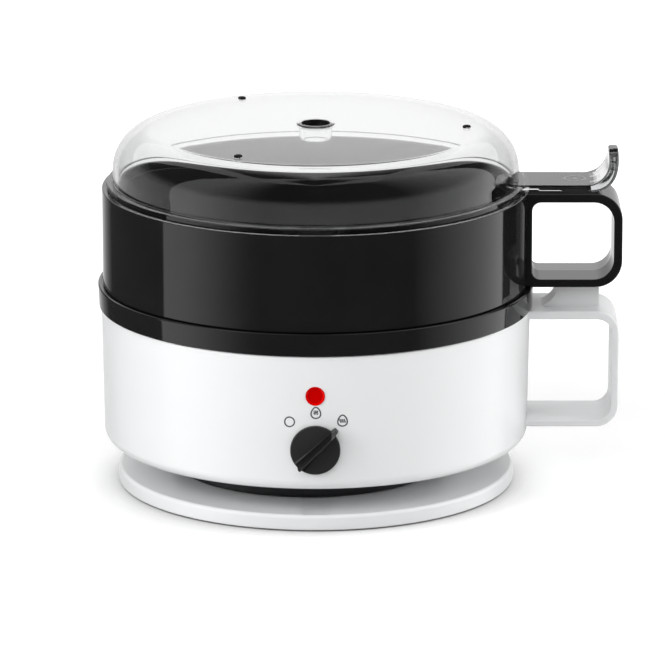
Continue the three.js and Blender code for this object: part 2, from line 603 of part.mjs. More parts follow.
/** The black collar: a ring with the carrier's seat, the bowl's shelf, a skirt and three posts. */
function collar() {
  const seatRadius = COLLAR_TOP_RADIUS - COLLAR_LIP;
  const skirtRadius = HOUSING_TOP_RADIUS - HOUSING_WALL - 2 * SEAT;
  const ring = turned([
    [SHELF_INNER_RADIUS, SHELF_BOTTOM],
    [skirtRadius - COLLAR_SKIRT_WALL, SHELF_BOTTOM],
    [skirtRadius - COLLAR_SKIRT_WALL, COLLAR_BOTTOM - COLLAR_SKIRT_DEPTH],
    [skirtRadius, COLLAR_BOTTOM - COLLAR_SKIRT_DEPTH],
    [skirtRadius, COLLAR_BOTTOM],
    [COLLAR_FOOT_RADIUS, COLLAR_BOTTOM],
    [COLLAR_TOP_RADIUS, COLLAR_TOP, 0.6],
    [seatRadius, COLLAR_TOP],
    [seatRadius, CARRIER_SEAT],
    [COLLAR_BORE, CARRIER_SEAT],
    [COLLAR_BORE, SHELF_TOP],
    [SHELF_INNER_RADIUS, SHELF_TOP],
  ]);
  const low = HOUSING_BOTTOM + SINK_DEPTH + HOUSING_WALL + SEAT;
  const posts = collarScrewSpots.map((spot) => post(BOSS_RADIUS, low, SHELF_BOTTOM + 0.5, spot));
  const holes = collarScrewSpots.map((spot) => post(SCREW_HOLE, low - 1, low + SCREW_BITE + 2, spot));
  return cut(joined(ring, ...posts), ...holes);
}

// ---------------------------------------------------------------- heating
/** The steel bowl that the water goes in, with two studs under its floor. */
function heatingBowl() {
  const top = BOWL_FLANGE_BOTTOM + BOWL_METAL;
  const floor = BOWL_UNDERSIDE + BOWL_METAL;
  const pan = turned([
    [0, BOWL_UNDERSIDE],
    [BOWL_FLOOR_RADIUS, BOWL_UNDERSIDE, BOWL_ROUND],
    [BOWL_MOUTH_RADIUS, BOWL_FLANGE_BOTTOM],
    [BOWL_FLANGE_RADIUS, BOWL_FLANGE_BOTTOM],
    [BOWL_FLANGE_RADIUS, top],
    [BOWL_MOUTH_RADIUS - BOWL_METAL, top],
    [BOWL_FLOOR_RADIUS - BOWL_METAL, floor, BOWL_ROUND - BOWL_METAL],
    [0, floor],
  ]);
  const studs = studSpots.map((spot) =>
    post(STUD_RADIUS, BOWL_UNDERSIDE - STUD_LENGTH, BOWL_UNDERSIDE + BOWL_METAL / 2, spot, SCREW_SIDES));
  return joined(pan, ...studs);
}

/** The flat silicone ring between the collar's shelf and the bowl's flange. */
function bowlSeal() {
  const low = SHELF_TOP + SEAT;
  const inner = SHELF_INNER_RADIUS + SEAL_INSET;
  const outer = BOWL_FLANGE_RADIUS - SEAL_INSET;
  return turned([
    [inner, low],
    [outer, low],
    [outer, low + SEAL_THICKNESS],
    [inner, low + SEAL_THICKNESS],
  ]);
}

const elementEnds = [1, -1].map((side) => polar(ELEMENT_RING, 90 + (side * ELEMENT_GAP_ANGLE) / 2));
const elementHeight = BOWL_UNDERSIDE - SEAT - ELEMENT_RADIUS;
const elementPinEnd = elementHeight - ELEMENT_TAIL - PIN_LENGTH;

/** The tubular heating ring with two tails that turn down and end in contact pins. */
function heatingElement() {
  const bendTurn = THREE.MathUtils.radToDeg(ELEMENT_BEND / ELEMENT_RING);
  const start = 90 + ELEMENT_GAP_ANGLE / 2;
  const sweep = 360 - ELEMENT_GAP_ANGLE;
  const ringSteps = 20;
  const ring = Array.from({ length: ringSteps + 1 }, (_, i) => {
    const angle = start + bendTurn + ((sweep - 2 * bendTurn) * i) / ringSteps;
    return [...polar(ELEMENT_RING, angle), elementHeight];
  });
  const bend = (from, way) => [0, 30, 60].map((angle) => {
    const [along, up] = polar(1, angle);
    const spot = polar(ELEMENT_RING, from + way * bendTurn * (1 - along));
    return [...spot, elementHeight - ELEMENT_BEND * (1 - up)];
  });
  const tailEnd = ([x, y]) => [x, y, elementHeight - ELEMENT_TAIL];
  const line = [
    tailEnd(elementEnds[0]),
    ...bend(start, 1),
    ...ring,
    ...bend(start + sweep, -1).reverse(),
    tailEnd(elementEnds[1]),
  ];
  const pinTop = elementHeight - ELEMENT_TAIL + 1;
  const pins = elementEnds.map((spot) => post(PIN_RADIUS, elementPinEnd, pinTop, spot, SCREW_SIDES));
  return joined(swept(line, ELEMENT_RADIUS, ELEMENT_STEPS), ...pins);
}

/** The aluminium tray under the heating ring. */
function heatShield() {
  const low = SHIELD_TOP - SHIELD_METAL;
  const tray = turned([
    [SHIELD_HOLE, low],
    [SHIELD_RADIUS, low],
    [SHIELD_RADIUS, SHIELD_TOP + SHIELD_LIP],
    [SHIELD_RADIUS - SHIELD_METAL, SHIELD_TOP + SHIELD_LIP],
    [SHIELD_RADIUS - SHIELD_METAL, SHIELD_TOP],
    [SHIELD_HOLE, SHIELD_TOP],
  ]);
  const studHoles = studSpots.map((spot) => post(STUD_RADIUS + SEAT, low - 1, SHIELD_TOP + 1, spot));
  const tailHoles = elementEnds.map((spot) => post(ELEMENT_RADIUS + 2, low - 1, SHIELD_TOP + 1, spot));
  return cut(tray, ...studHoles, ...tailHoles);
}

const thermostatTop = BOWL_UNDERSIDE - SEAT;
const thermostatBottom = thermostatTop - THERMOSTAT_HEIGHT;

/** The disc thermostat under the bowl, with a contact blade on each side. */
function thermostat() {
  const z = thermostatBottom + 2;
  const tip = THERMOSTAT_RADIUS + BLADE_LENGTH;
  const blades = block([-BLADE_WIDTH / 2, -tip, z], [BLADE_WIDTH / 2, tip, z + BLADE_THICKNESS]);
  return joined(post(THERMOSTAT_RADIUS, thermostatBottom, thermostatTop), blades);
}

/** The spring strip on the two studs that presses the thermostat to the bowl. */
function thermostatBracket() {
  const high = thermostatBottom - SEAT;
  const low = SHIELD_TOP + SEAT + BRACKET_METAL;
  const [outer, end] = [STUD_X - BRACKET_FOOT, STUD_X + BRACKET_FOOT];
  const inner = outer - BRACKET_SLOPE;
  const under = high - BRACKET_METAL;
  const foot = low - BRACKET_METAL;
  const strip = plate(
    [
      [-end, foot],
      [-outer, foot],
      [-inner, under],
      [inner, under],
      [outer, foot],
      [end, foot],
      [end, low],
      [outer + 0.4, low],
      [inner + 0.4, high],
      [-inner - 0.4, high],
      [-outer - 0.4, low],
      [-end, low],
    ],
    BRACKET_WIDTH,
  );
  const holes = studSpots.map((spot) => post(STUD_RADIUS + SEAT, foot - 1, low + 1, spot));
  return cut(strip, ...holes);
}

/** The thermal fuse: a capsule with two short leads, lying under the bowl. */
function thermalFuse() {
  const z = BOWL_UNDERSIDE - SEAT - FUSE_RADIUS;
  const lie = (radius, half) => {
    const geometry = new THREE.CylinderGeometry(radius, radius, 2 * half, SCREW_SIDES);
    return solid(geometry.rotateZ(Math.PI / 2).translate(0, FUSE_Y, z));
  };
  return joined(lie(FUSE_RADIUS, FUSE_LENGTH / 2), lie(FUSE_RADIUS / 3, FUSE_LENGTH));
}

/** A hexagon nut whose top face is at z = 0. */
function nut() {
  return cut(post(NUT_RADIUS, -NUT_HEIGHT, 0, [0, 0], 6), post(STUD_RADIUS + SEAT, -NUT_HEIGHT - 1, 1));
}

// ---------------------------------------------------------------- switch, knob and lamp
const knobBack = -housingRadius(KNOB_HEIGHT) - KNOB_GAP;
const knobFace = knobBack - KNOB_THICKNESS;
const spindleBack = -SWITCH_FACE + SWITCH_DEPTH / 2;

/** The rotary switch: its body with a blind hole for the spindle, and two ears. */
function rotarySwitch() {
  const [front, back] = [-SWITCH_FACE, -SWITCH_FACE + SWITCH_DEPTH];
  const reach = SWITCH_SCREW_X + SWITCH_BOSS_RADIUS + 1;
  const halfHeight = SWITCH_HEIGHT / 2;
  const body = block(
    [-SWITCH_WIDTH / 2, front, KNOB_HEIGHT - halfHeight],
    [SWITCH_WIDTH / 2, back, KNOB_HEIGHT + halfHeight],
  );
  const ears = block([-reach, front, KNOB_HEIGHT - 5], [reach, front + SWITCH_EAR, KNOB_HEIGHT + 5]);
  const hole = bar(SPINDLE_RADIUS + TURN_PLAY, front - 1, spindleBack + SEAT, [0, KNOB_HEIGHT]);
  const screwHoles = [-1, 1].map((side) =>
    bar(SWITCH_SCREW_RADIUS + SEAT, front - 1, front + 2 * SWITCH_EAR, [side * SWITCH_SCREW_X, KNOB_HEIGHT]));
  return cut(joined(body, ears), hole, ...screwHoles);
}

/** The knob about its own axis: a disc with a hub behind it and a tapered grip ridge. */
function knob() {
  const disc = turned([
    [0, 0],
    [KNOB_RADIUS, 0],
    [KNOB_RADIUS, KNOB_THICKNESS, KNOB_ROUND],
    [0, KNOB_THICKNESS],
  ], VENT_SIDES);
  const hub = post(KNOB_HUB_RADIUS, -KNOB_HUB_LENGTH, 0.5);
  const wedge = (halfTail, tail, halfEnd, end, depth) => {
    const plan = new THREE.Shape(outline([[-halfTail, -tail], [halfTail, -tail], [halfEnd, end], [-halfEnd, end]]));
    return solid(new THREE.ExtrudeGeometry(plan, { depth, bevelEnabled: false }));
  };
  const blade = wedge(GRIP_HALF_WIDTH, GRIP_TAIL, GRIP_HALF_WIDTH * 0.7, GRIP_END, GRIP_HEIGHT);
  const foot = wedge(
    GRIP_FOOT_HALF_WIDTH, GRIP_TAIL - 0.4, POINTER_HALF_WIDTH, GRIP_END - 0.5, KNOB_THICKNESS + GRIP_FOOT_HEIGHT,
  );
  const pointer = wedge(
    POINTER_HALF_WIDTH, 0.5 - GRIP_END, POINTER_HALF_WIDTH * 0.6, POINTER_REACH, POINTER_HEIGHT,
  );
  const boreEnd = KNOB_THICKNESS - SPINDLE_COVER;
  const bore = solid(
    new THREE.CylinderGeometry(SPINDLE_RADIUS + SEAT, SPINDLE_RADIUS + SEAT, 2 * KNOB_HUB_LENGTH, SMALL_SIDES)
      .rotateX(Math.PI / 2)
      .translate(0, 0, boreEnd - KNOB_HUB_LENGTH),
  );
  const flat = block(
    [SPINDLE_FLAT + SEAT, -2 * SPINDLE_RADIUS, -2 * KNOB_HUB_LENGTH],
    [3 * SPINDLE_RADIUS, 2 * SPINDLE_RADIUS, 2 * KNOB_HUB_LENGTH],
  );
  return cut(joined(disc, hub, foot, blade, pointer), cut(bore, flat));
}

/** The switch spindle about its own axis, with a flat where the knob sits. */
function switchSpindle() {
  const front = knobFace + SPINDLE_COVER + SEAT;
  const round = bar(SPINDLE_RADIUS, front, spindleBack, [0, 0]);
  const side = block(
    [SPINDLE_FLAT, front - 1, -2 * SPINDLE_RADIUS],
    [3 * SPINDLE_RADIUS, knobBack + KNOB_HUB_LENGTH + 1, 2 * SPINDLE_RADIUS],
  );
  return cut(round, side);
}

/** The red lens: a plug through the wall with a flange behind it. */
function lampLens() {
  const face = -housingRadius(LAMP_HEIGHT) - LENS_PROUD;
  const insideWall = Math.sqrt((housingRadius(LAMP_HEIGHT) - HOUSING_WALL) ** 2 - LENS_FLANGE ** 2);
  const seat = -insideWall + 2 * SEAT;
  const spot = [0, LAMP_HEIGHT];
  const flange = bar(LENS_FLANGE, seat, seat + LENS_FLANGE_DEPTH, spot);
  return joined(bar(LENS_RADIUS, face, seat + 0.1, spot), flange);
}

const holderFront = -Math.sqrt((housingRadius(LAMP_HEIGHT) - HOUSING_WALL) ** 2 - LENS_FLANGE ** 2)
  + LENS_FLANGE_DEPTH + 3 * SEAT;

/** The sleeve behind the lens that holds the lamp. */
function lampHolder() {
  const bore = CAPSULE_RADIUS + SEAT;
  const spot = [0, LAMP_HEIGHT];
  const sleeve = bar(bore + HOLDER_WALL, holderFront, holderFront + HOLDER_LENGTH, spot);
  return cut(sleeve, bar(bore, holderFront - 1, holderFront + HOLDER_LENGTH + 1, spot));
}

/** The neon lamp: a glass capsule inside the holder. */
function neonLamp() {
  const front = holderFront + (HOLDER_LENGTH - CAPSULE_LENGTH) / 2;
  return bar(CAPSULE_RADIUS, front, front + CAPSULE_LENGTH, [0, LAMP_HEIGHT]);
}

/** The terminal block on the housing's floor, with two grooves between its three ways. */
function terminalBlock() {
  const low = HOUSING_FLOOR + SEAT;
  const high = low + BLOCK_HEIGHT;
  const body = block(
    [-BLOCK_WIDTH / 2, BLOCK_Y - BLOCK_DEPTH / 2, low],
    [BLOCK_WIDTH / 2, BLOCK_Y + BLOCK_DEPTH / 2, high],
  );
  const grooves = [-1, 1].map((side) =>
    block([(side * BLOCK_WIDTH) / 6 - 0.8, BLOCK_Y - BLOCK_DEPTH, high - 4],
      [(side * BLOCK_WIDTH) / 6 + 0.8, BLOCK_Y + BLOCK_DEPTH, high + 1]));
  return cut(body, ...grooves);
}

// ---------------------------------------------------------------- wires
const blockTop = HOUSING_FLOOR + BLOCK_HEIGHT + 2 * SEAT;
const switchBack = -SWITCH_FACE + SWITCH_DEPTH + SEAT;
const wireEnd = SEAT + WIRE_RADIUS;

/** The live wire from the terminal block to the switch. */
function liveWire() {
  const x = -BLOCK_WIDTH / 3;
  return swept(
    [
      [x, BLOCK_Y, blockTop],
      [x, BLOCK_Y - WIRE_RISE / 8, blockTop + WIRE_RISE],
      [x, BLOCK_Y - 4.5 * WIRE_RISE, blockTop + WIRE_RISE],
      [x * 2.2, BLOCK_Y - 2 * WIRE_LEAD, blockTop - 3 * WIRE_RISE],
      [x * 2.2, -WIRE_LEAD, blockTop - 2 * WIRE_RISE],
      [x * 0.7, switchBack + WIRE_LEAD, KNOB_HEIGHT + 1],
      [x * 0.7, switchBack, KNOB_HEIGHT + 1],
    ],
    WIRE_RADIUS,
    WIRE_STEPS,
    WIRE_SIDES,
  );
}

/** The neutral wire from the terminal block to one end of the heating ring. */
function neutralWire() {
  const [x, y] = elementEnds[1];
  const end = elementPinEnd - SEAT;
  return swept(
    [
      [BLOCK_WIDTH / 3, BLOCK_Y, blockTop],
      [BLOCK_WIDTH / 3, BLOCK_Y + 1, blockTop + 2.5],
      [(BLOCK_WIDTH / 3 + x) / 2, (BLOCK_Y + y) / 2, (blockTop + end) / 2],
      [x, y, end - 2.5],
      [x, y, end],
    ],
    WIRE_RADIUS,
    WIRE_STEPS,
    WIRE_SIDES,
  );
}

/** The switched wire from the switch to the thermostat's front blade. */
function switchedWire() {
  const blade = thermostatBottom + 2 - wireEnd;
  const y = -THERMOSTAT_RADIUS - BLADE_LENGTH / 2;
  return swept(
    [
      [SWITCHED_X, switchBack, KNOB_HEIGHT + SWITCHED_Z],
      [SWITCHED_X, switchBack + 0.75 * WIRE_LEAD, KNOB_HEIGHT + SWITCHED_Z],
      [SWITCHED_X / 2, (switchBack + y) / 2, (KNOB_HEIGHT + SHIELD_TOP - SWITCHED_Z) / 2],
      [0, y - WIRE_DROP / 3, SHIELD_TOP - WIRE_DROP],
      [0, y, SHIELD_TOP - WIRE_DROP / 3],
      [0, y, blade],
    ],
    WIRE_RADIUS,
    WIRE_STEPS,
    WIRE_SIDES,
  );
}

/** The wire from the thermostat's back blade to the other end of the heating ring. */
function elementWire() {
  const [x, yEnd] = elementEnds[0];
  const blade = thermostatBottom + 2 - wireEnd;
  const y = THERMOSTAT_RADIUS + BLADE_LENGTH / 2;
  const end = elementPinEnd - SEAT;
  return swept(
    [
      [0, y, blade],
      [0, y, SHIELD_TOP - WIRE_DROP / 2],
      [x * 0.2, y + WIRE_DROP / 2, SHIELD_TOP - WIRE_DROP],
      [x * 0.75, yEnd - WIRE_LEAD, end - 1],
      [x, yEnd, end - 3],
      [x, yEnd, end],
    ],
    WIRE_RADIUS,
    WIRE_STEPS,
    WIRE_SIDES,
  );
}

// ---------------------------------------------------------------- egg carrier
/** The loop handle of the carrier with the pad under the lid's tongue. */
function highHandle() {
  const reach = HIGH_HANDLE_REACH;
  const inner = reach - HIGH_HANDLE_STRAP;
  const innerRound = HIGH_HANDLE_ROUND - HIGH_HANDLE_STRAP;
  const loop = plate(
    [
      [HIGH_HANDLE_ROOT - 4, HIGH_HANDLE_BOTTOM],
      [reach, HIGH_HANDLE_BOTTOM, HIGH_HANDLE_ROUND],
      [reach, HIGH_HANDLE_TOP, HIGH_HANDLE_ROUND],
      [HIGH_HANDLE_ROOT - 4, HIGH_HANDLE_TOP],
    ],
    HIGH_HANDLE_DEPTH,
    [
      [HIGH_HANDLE_ROOT + HIGH_HANDLE_STRAP, HIGH_HANDLE_BOTTOM + HIGH_HANDLE_STRAP, HIGH_HANDLE_INNER_ROUND],
      [inner, HIGH_HANDLE_BOTTOM + HIGH_HANDLE_STRAP, innerRound],
      [inner, HIGH_HANDLE_TOP - HIGH_HANDLE_STRAP, innerRound],
      [HIGH_HANDLE_ROOT + HIGH_HANDLE_STRAP, HIGH_HANDLE_TOP - HIGH_HANDLE_STRAP, HIGH_HANDLE_INNER_ROUND],
    ],
  );
  const pad = block(
    [PAD_START, -PAD_DEPTH / 2, HIGH_HANDLE_TOP - 1],
    [PAD_END, PAD_DEPTH / 2, HIGH_HANDLE_TOP + PAD_HEIGHT],
  );
  return joined(loop, pad);
}

/** The black carrier: a ring wall with a spigot below, a ledge for the rack and the lid's seat. */
function eggCarrier() {
  const innerFoot = CARRIER_FOOT_RADIUS - CARRIER_WALL;
  const innerTop = CARRIER_TOP_RADIUS - CARRIER_WALL;
  const spigotInner = SPIGOT_RADIUS - SPIGOT_WALL;
  const lip = LID_SEAT - REBATE_THICKNESS;
  const ring = turned([
    [spigotInner, CARRIER_BOTTOM - SPIGOT_DEPTH],
    [SPIGOT_RADIUS, CARRIER_BOTTOM - SPIGOT_DEPTH],
    [SPIGOT_RADIUS, CARRIER_BOTTOM],
    [CARRIER_FOOT_RADIUS, CARRIER_BOTTOM],
    [CARRIER_TOP_RADIUS, CARRIER_TOP, 0.4],
    [REBATE_RADIUS, CARRIER_TOP],
    [REBATE_RADIUS, LID_SEAT],
    [LID_SEAT_INNER, LID_SEAT],
    [LID_SEAT_INNER, lip],
    [innerTop, lip - (innerTop - LID_SEAT_INNER)],
    [innerFoot, LEDGE_TOP],
    [spigotInner, LEDGE_TOP],
  ]);
  const inside = post(innerFoot, CARRIER_BOTTOM - 1, CARRIER_TOP + 1, [0, 0], RING_SIDES, innerTop);
  return joined(ring, cut(highHandle(), inside));
}

/** The rack: a plate on the carrier's ledge with seven raised cup rims and steam holes. */
function eggRack() {
  const low = LEDGE_TOP + SEAT;
  const top = low + RACK_THICKNESS;
  const rackRadius = CARRIER_FOOT_RADIUS - CARRIER_WALL - SEAT;
  const ringSpots = Array.from({ length: CUP_COUNT }, (_, i) => polar(CUP_RING, (i * 360) / CUP_COUNT));
  const spots = [[0, 0], ...ringSpots];
  const between = Array.from({ length: CUP_COUNT }, (_, i) => ((i + 0.5) * 360) / CUP_COUNT);
  const cone = (spot, inset, under, over) => {
    const [low, high] = [top - under, top + CUP_HEIGHT + over];
    return post(CUP_FOOT_RADIUS - inset, low, high, spot, SMALL_SIDES, CUP_MOUTH_RADIUS - inset);
  };
  const rims = spots.map((spot) => cone(spot, 0, 0.1, 0));
  const bores = spots.map((spot) => cone(spot, CUP_WALL, RACK_THICKNESS + 0.5, 0.5));
  const steam = STEAM_HOLE_RINGS.flatMap((ring) =>
    between.map((angle) => post(STEAM_HOLE_RADIUS, low - 1, top + 1, polar(ring, angle), SCREW_SIDES)));
  return cut(joined(post(rackRadius, low, top, [0, 0], RING_SIDES), ...rims), ...bores, ...steam);
}

// ---------------------------------------------------------------- lid
/** The outline of the dome's inside or outside, from the axis outwards and down. */
function domeLine(inset) {
  const radius = DOME_RADIUS - inset;
  const round = SHOULDER_RADIUS - inset;
  const flat = DOME_RADIUS - SHOULDER_RADIUS;
  const crownSteps = 3;
  const shoulderSteps = 5;
  const crown = Array.from({ length: crownSteps }, (_, i) => {
    const r = (flat * i) / crownSteps;
    return [r, DOME_TOP - inset - CROWN * (r / flat) ** 2];
  });
  const shoulder = Array.from({ length: shoulderSteps + 1 }, (_, i) => {
    const [r, z] = polar(round, 90 - (90 * i) / shoulderSteps);
    return [flat + r, SHOULDER_START + z];
  });
  return [...crown, ...shoulder].map(([r, z]) => [Math.min(r, radius), z]);
}

/** The tongue over the carrier's handle, turned up to a rounded tip, notched over the handle's pad. */
function tongue() {
  const top = TONGUE_BOTTOM + TONGUE_THICKNESS;
  const tip = top + TONGUE_TOP;
  const face = TONGUE_REACH - TONGUE_THICKNESS;
  const strip = plate(
    [
      [DOME_RADIUS - 4, TONGUE_BOTTOM],
      [TONGUE_REACH, TONGUE_BOTTOM, TONGUE_BEND + TONGUE_THICKNESS],
      [TONGUE_REACH, tip, TONGUE_TIP_ROUND],
      [face, tip, TONGUE_TIP_ROUND],
      [face, top, TONGUE_BEND],
      [DOME_RADIUS - 4, top],
    ],
    TONGUE_DEPTH,
  );
  const corners = [-1, 1].map((side) => {
    const spot = [side * (TONGUE_DEPTH / 2 - TONGUE_CORNER), tip - TONGUE_CORNER];
    const square = block(
      [face - 1, Math.min(spot[0], side * TONGUE_DEPTH), spot[1]],
      [TONGUE_REACH + 1, Math.max(spot[0], side * TONGUE_DEPTH), tip + 1],
    );
    const round = solid(
      new THREE.CylinderGeometry(TONGUE_CORNER, TONGUE_CORNER, 4 * TONGUE_THICKNESS, VENT_SIDES)
        .rotateZ(Math.PI / 2)
        .translate(TONGUE_REACH, ...spot),
    );
    return cut(square, round);
  });
  const hollow = block(
    [PAD_START - SLIP, -PAD_DEPTH / 2 - SLIP, TONGUE_BOTTOM - 1],
    [PAD_END + SLIP, PAD_DEPTH / 2 + SLIP, HIGH_HANDLE_TOP + PAD_HEIGHT + SEAT],
  );
  return cut(strip, hollow, ...corners);
}

/** The clear lid: dome, flange, spigot, tongue, centre vent tube and three small vents. */
function lid() {
  const inner = DOME_RADIUS - LID_WALL;
  const dome = turned([
    ...domeLine(LID_WALL),
    [inner, FLANGE_BOTTOM - LID_SPIGOT_DEPTH],
    [LID_SPIGOT_RADIUS, FLANGE_BOTTOM - LID_SPIGOT_DEPTH],
    [LID_SPIGOT_RADIUS, FLANGE_BOTTOM],
    [FLANGE_RADIUS, FLANGE_BOTTOM],
    [FLANGE_RADIUS, FLANGE_TOP],
    [DOME_RADIUS, FLANGE_TOP],
    ...domeLine(0).reverse(),
  ]);
  const ventTop = DOME_TOP + VENT_RIM_PROUD;
  const vent = turned([
    [VENT_BORE, ventTop - VENT_TUBE_DEPTH],
    [VENT_TUBE_RADIUS, ventTop - VENT_TUBE_DEPTH, 1],
    [VENT_TUBE_RADIUS, DOME_TOP - LID_WALL / 2],
    [VENT_RIM_RADIUS, DOME_TOP - LID_WALL / 2],
    [VENT_RIM_RADIUS, ventTop, VENT_RIM_PROUD / 2],
    [VENT_SINK_RADIUS, ventTop],
    [VENT_SINK_RADIUS, ventTop - VENT_SINK_DEPTH],
    [VENT_BORE, ventTop - VENT_SINK_DEPTH],
  ], VENT_SIDES);
  const ventHole = post(VENT_TUBE_RADIUS - 0.2, DOME_TOP - 3 * LID_WALL, DOME_TOP + 1);
  const steamVents = STEAM_VENT_ANGLES.map((angle) => {
    const spot = polar(STEAM_VENT_RING, angle);
    return post(STEAM_VENT_RADIUS, DOME_TOP - 3 * LID_WALL, DOME_TOP + 1, spot, SCREW_SIDES);
  });
  const inside = post(inner, FLANGE_BOTTOM - LID_SPIGOT_DEPTH, DOME_TOP, [0, 0], RING_SIDES);
  return cut(joined(cut(dome, ventHole), vent, cut(tongue(), inside)), ...steamVents);
}

// ---------------------------------------------------------------- assembly
/** A group that holds the given meshes. */
function group(...members) {
  return new THREE.Group().add(...members);
}

const base = group(
  piece("base_disc", baseDisc(), "whitePlastic"),
  piece("base_underplate", underplate(), "blackPlastic"),
  ...footSpots.map(([x, y], i) =>
    piece(`foot_${i + 1}`, post(FOOT_RADIUS, 0, FOOT_DEPTH), "rubber", [x, y, 0])),
  ...baseScrewSpots.map(([x, y], i) => {
    const seat = DISC_BOTTOM + SINK_DEPTH - SEAT;
    return piece(`base_screw_${i + 1}`, screw(HOUSING_FLOOR + SCREW_BITE - 1 - seat), "steel", [x, y, seat]);
  }),
  piece("cord_drum", cordDrum(), "blackPlastic"),
  piece("cord_gland", cordGland(), "rubber"),
);

const body = group(
  piece("housing", housing(), "whitePlastic"),
  piece("collar", collar(), "blackPlastic"),
  ...collarScrewSpots.map(([x, y], i) => {
    const seat = HOUSING_BOTTOM + SINK_DEPTH - SEAT;
    return piece(`collar_screw_${i + 1}`, screw(HOUSING_WALL + SEAT + SCREW_BITE), "steel", [x, y, seat]);
  }),
  piece("terminal_block", terminalBlock(), "creamPlastic"),
  piece("wire_live", liveWire(), "wireLive"),
  piece("wire_neutral", neutralWire(), "wireNeutral"),
  piece("wire_switched", switchedWire(), "wireSwitched"),
  piece("wire_element", elementWire(), "wireSwitched"),
);

const heating = group(
  piece("heating_bowl", heatingBowl(), "steel"),
  piece("bowl_seal", bowlSeal(), "silicone"),
  piece("heating_element", heatingElement(), "aluminium"),
  piece("heat_shield", heatShield(), "aluminium"),
  piece("thermostat", thermostat(), "creamPlastic"),
  piece("thermostat_bracket", thermostatBracket(), "steel"),
  piece("thermal_fuse", thermalFuse(), "brass"),
  ...studSpots.map(([x, y], i) =>
    piece(`stud_nut_${i + 1}`, nut(), "steel", [x, y, SHIELD_TOP - SHIELD_METAL - SEAT])),
);

const knobMesh = piece("knob", knob(), "blackPlastic", [0, knobBack, KNOB_HEIGHT]);
knobMesh.rotation.set(Math.PI / 2, 0, -radians(POINTER_ANGLE));
const spindleMesh = piece("switch_spindle", switchSpindle(), "brass", [0, 0, KNOB_HEIGHT]);
spindleMesh.rotation.set(0, radians(POINTER_ANGLE), 0);

const controls = group(
  piece("rotary_switch", rotarySwitch(), "creamPlastic"),
  ...[-1, 1].map((side, i) => {
    const place = [side * SWITCH_SCREW_X, -SWITCH_FACE + SWITCH_EAR + SEAT, KNOB_HEIGHT];
    const length = SWITCH_EAR + SWITCH_SCREW_BITE;
    const shape = screw(length, SWITCH_SCREW_RADIUS, SWITCH_HEAD_RADIUS, SWITCH_HEAD_DEPTH);
    const mesh = piece(`switch_screw_${i + 1}`, shape, "steel", place);
    mesh.rotation.x = Math.PI / 2;
    return mesh;
  }),
  knobMesh,
  spindleMesh,
  piece("lamp_lens", lampLens(), "redLens"),
  piece("lamp_holder", lampHolder(), "creamPlastic"),
  piece("neon_lamp", neonLamp(), "clearPlastic"),
);

const carrier = group(
  piece("egg_carrier", eggCarrier(), "blackPlastic"),
  piece("egg_rack", eggRack(), "blackPlastic"),
);

const cover = group(piece("lid", lid(), "clearPlastic"));

export default group(base, body, heating, controls, carrier, cover);
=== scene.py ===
"""The finished look of the egg cooker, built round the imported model's frame.

Lengths in this file are millimetres unless a name says otherwise; meshes are scaled to metres
when they are made. Each sub-assembly is a class with its sizes as fields, each finish is a frozen
dataclass, and main() builds them in order.
"""
from __future__ import annotations

import logging
import math
from collections.abc import Callable, Iterable, Sequence
from dataclasses import dataclass, field
from enum import Enum

import bmesh
import bpy
from mathutils import Matrix, Vector


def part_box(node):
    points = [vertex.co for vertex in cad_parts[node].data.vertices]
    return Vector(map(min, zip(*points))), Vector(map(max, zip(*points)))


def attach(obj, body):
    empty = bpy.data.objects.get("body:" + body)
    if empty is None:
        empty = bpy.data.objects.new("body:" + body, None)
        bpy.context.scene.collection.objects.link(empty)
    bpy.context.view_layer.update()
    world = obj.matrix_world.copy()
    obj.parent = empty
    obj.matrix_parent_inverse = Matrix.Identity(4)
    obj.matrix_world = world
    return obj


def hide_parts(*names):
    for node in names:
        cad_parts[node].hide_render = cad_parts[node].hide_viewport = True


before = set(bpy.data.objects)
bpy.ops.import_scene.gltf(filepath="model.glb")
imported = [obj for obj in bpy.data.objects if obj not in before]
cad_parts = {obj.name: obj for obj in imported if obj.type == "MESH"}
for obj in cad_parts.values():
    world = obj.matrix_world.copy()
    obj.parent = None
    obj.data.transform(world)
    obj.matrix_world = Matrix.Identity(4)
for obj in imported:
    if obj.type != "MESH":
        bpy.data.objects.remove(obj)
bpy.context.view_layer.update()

LOG = logging.getLogger("egg_cooker")
MM = 0.001
TURN = 2 * math.pi
RING_SIDES = 192
PART_SIDES = 72
Point = tuple[float, float, float]
Flat = tuple[float, float]


class Body(Enum):
    """The bodies that pieces ride on."""

    BASE = "base"
    CARRIER = "carrier"
    LID = "lid"
    KNOB = "knob"


# ---------------------------------------------------------------- node trees


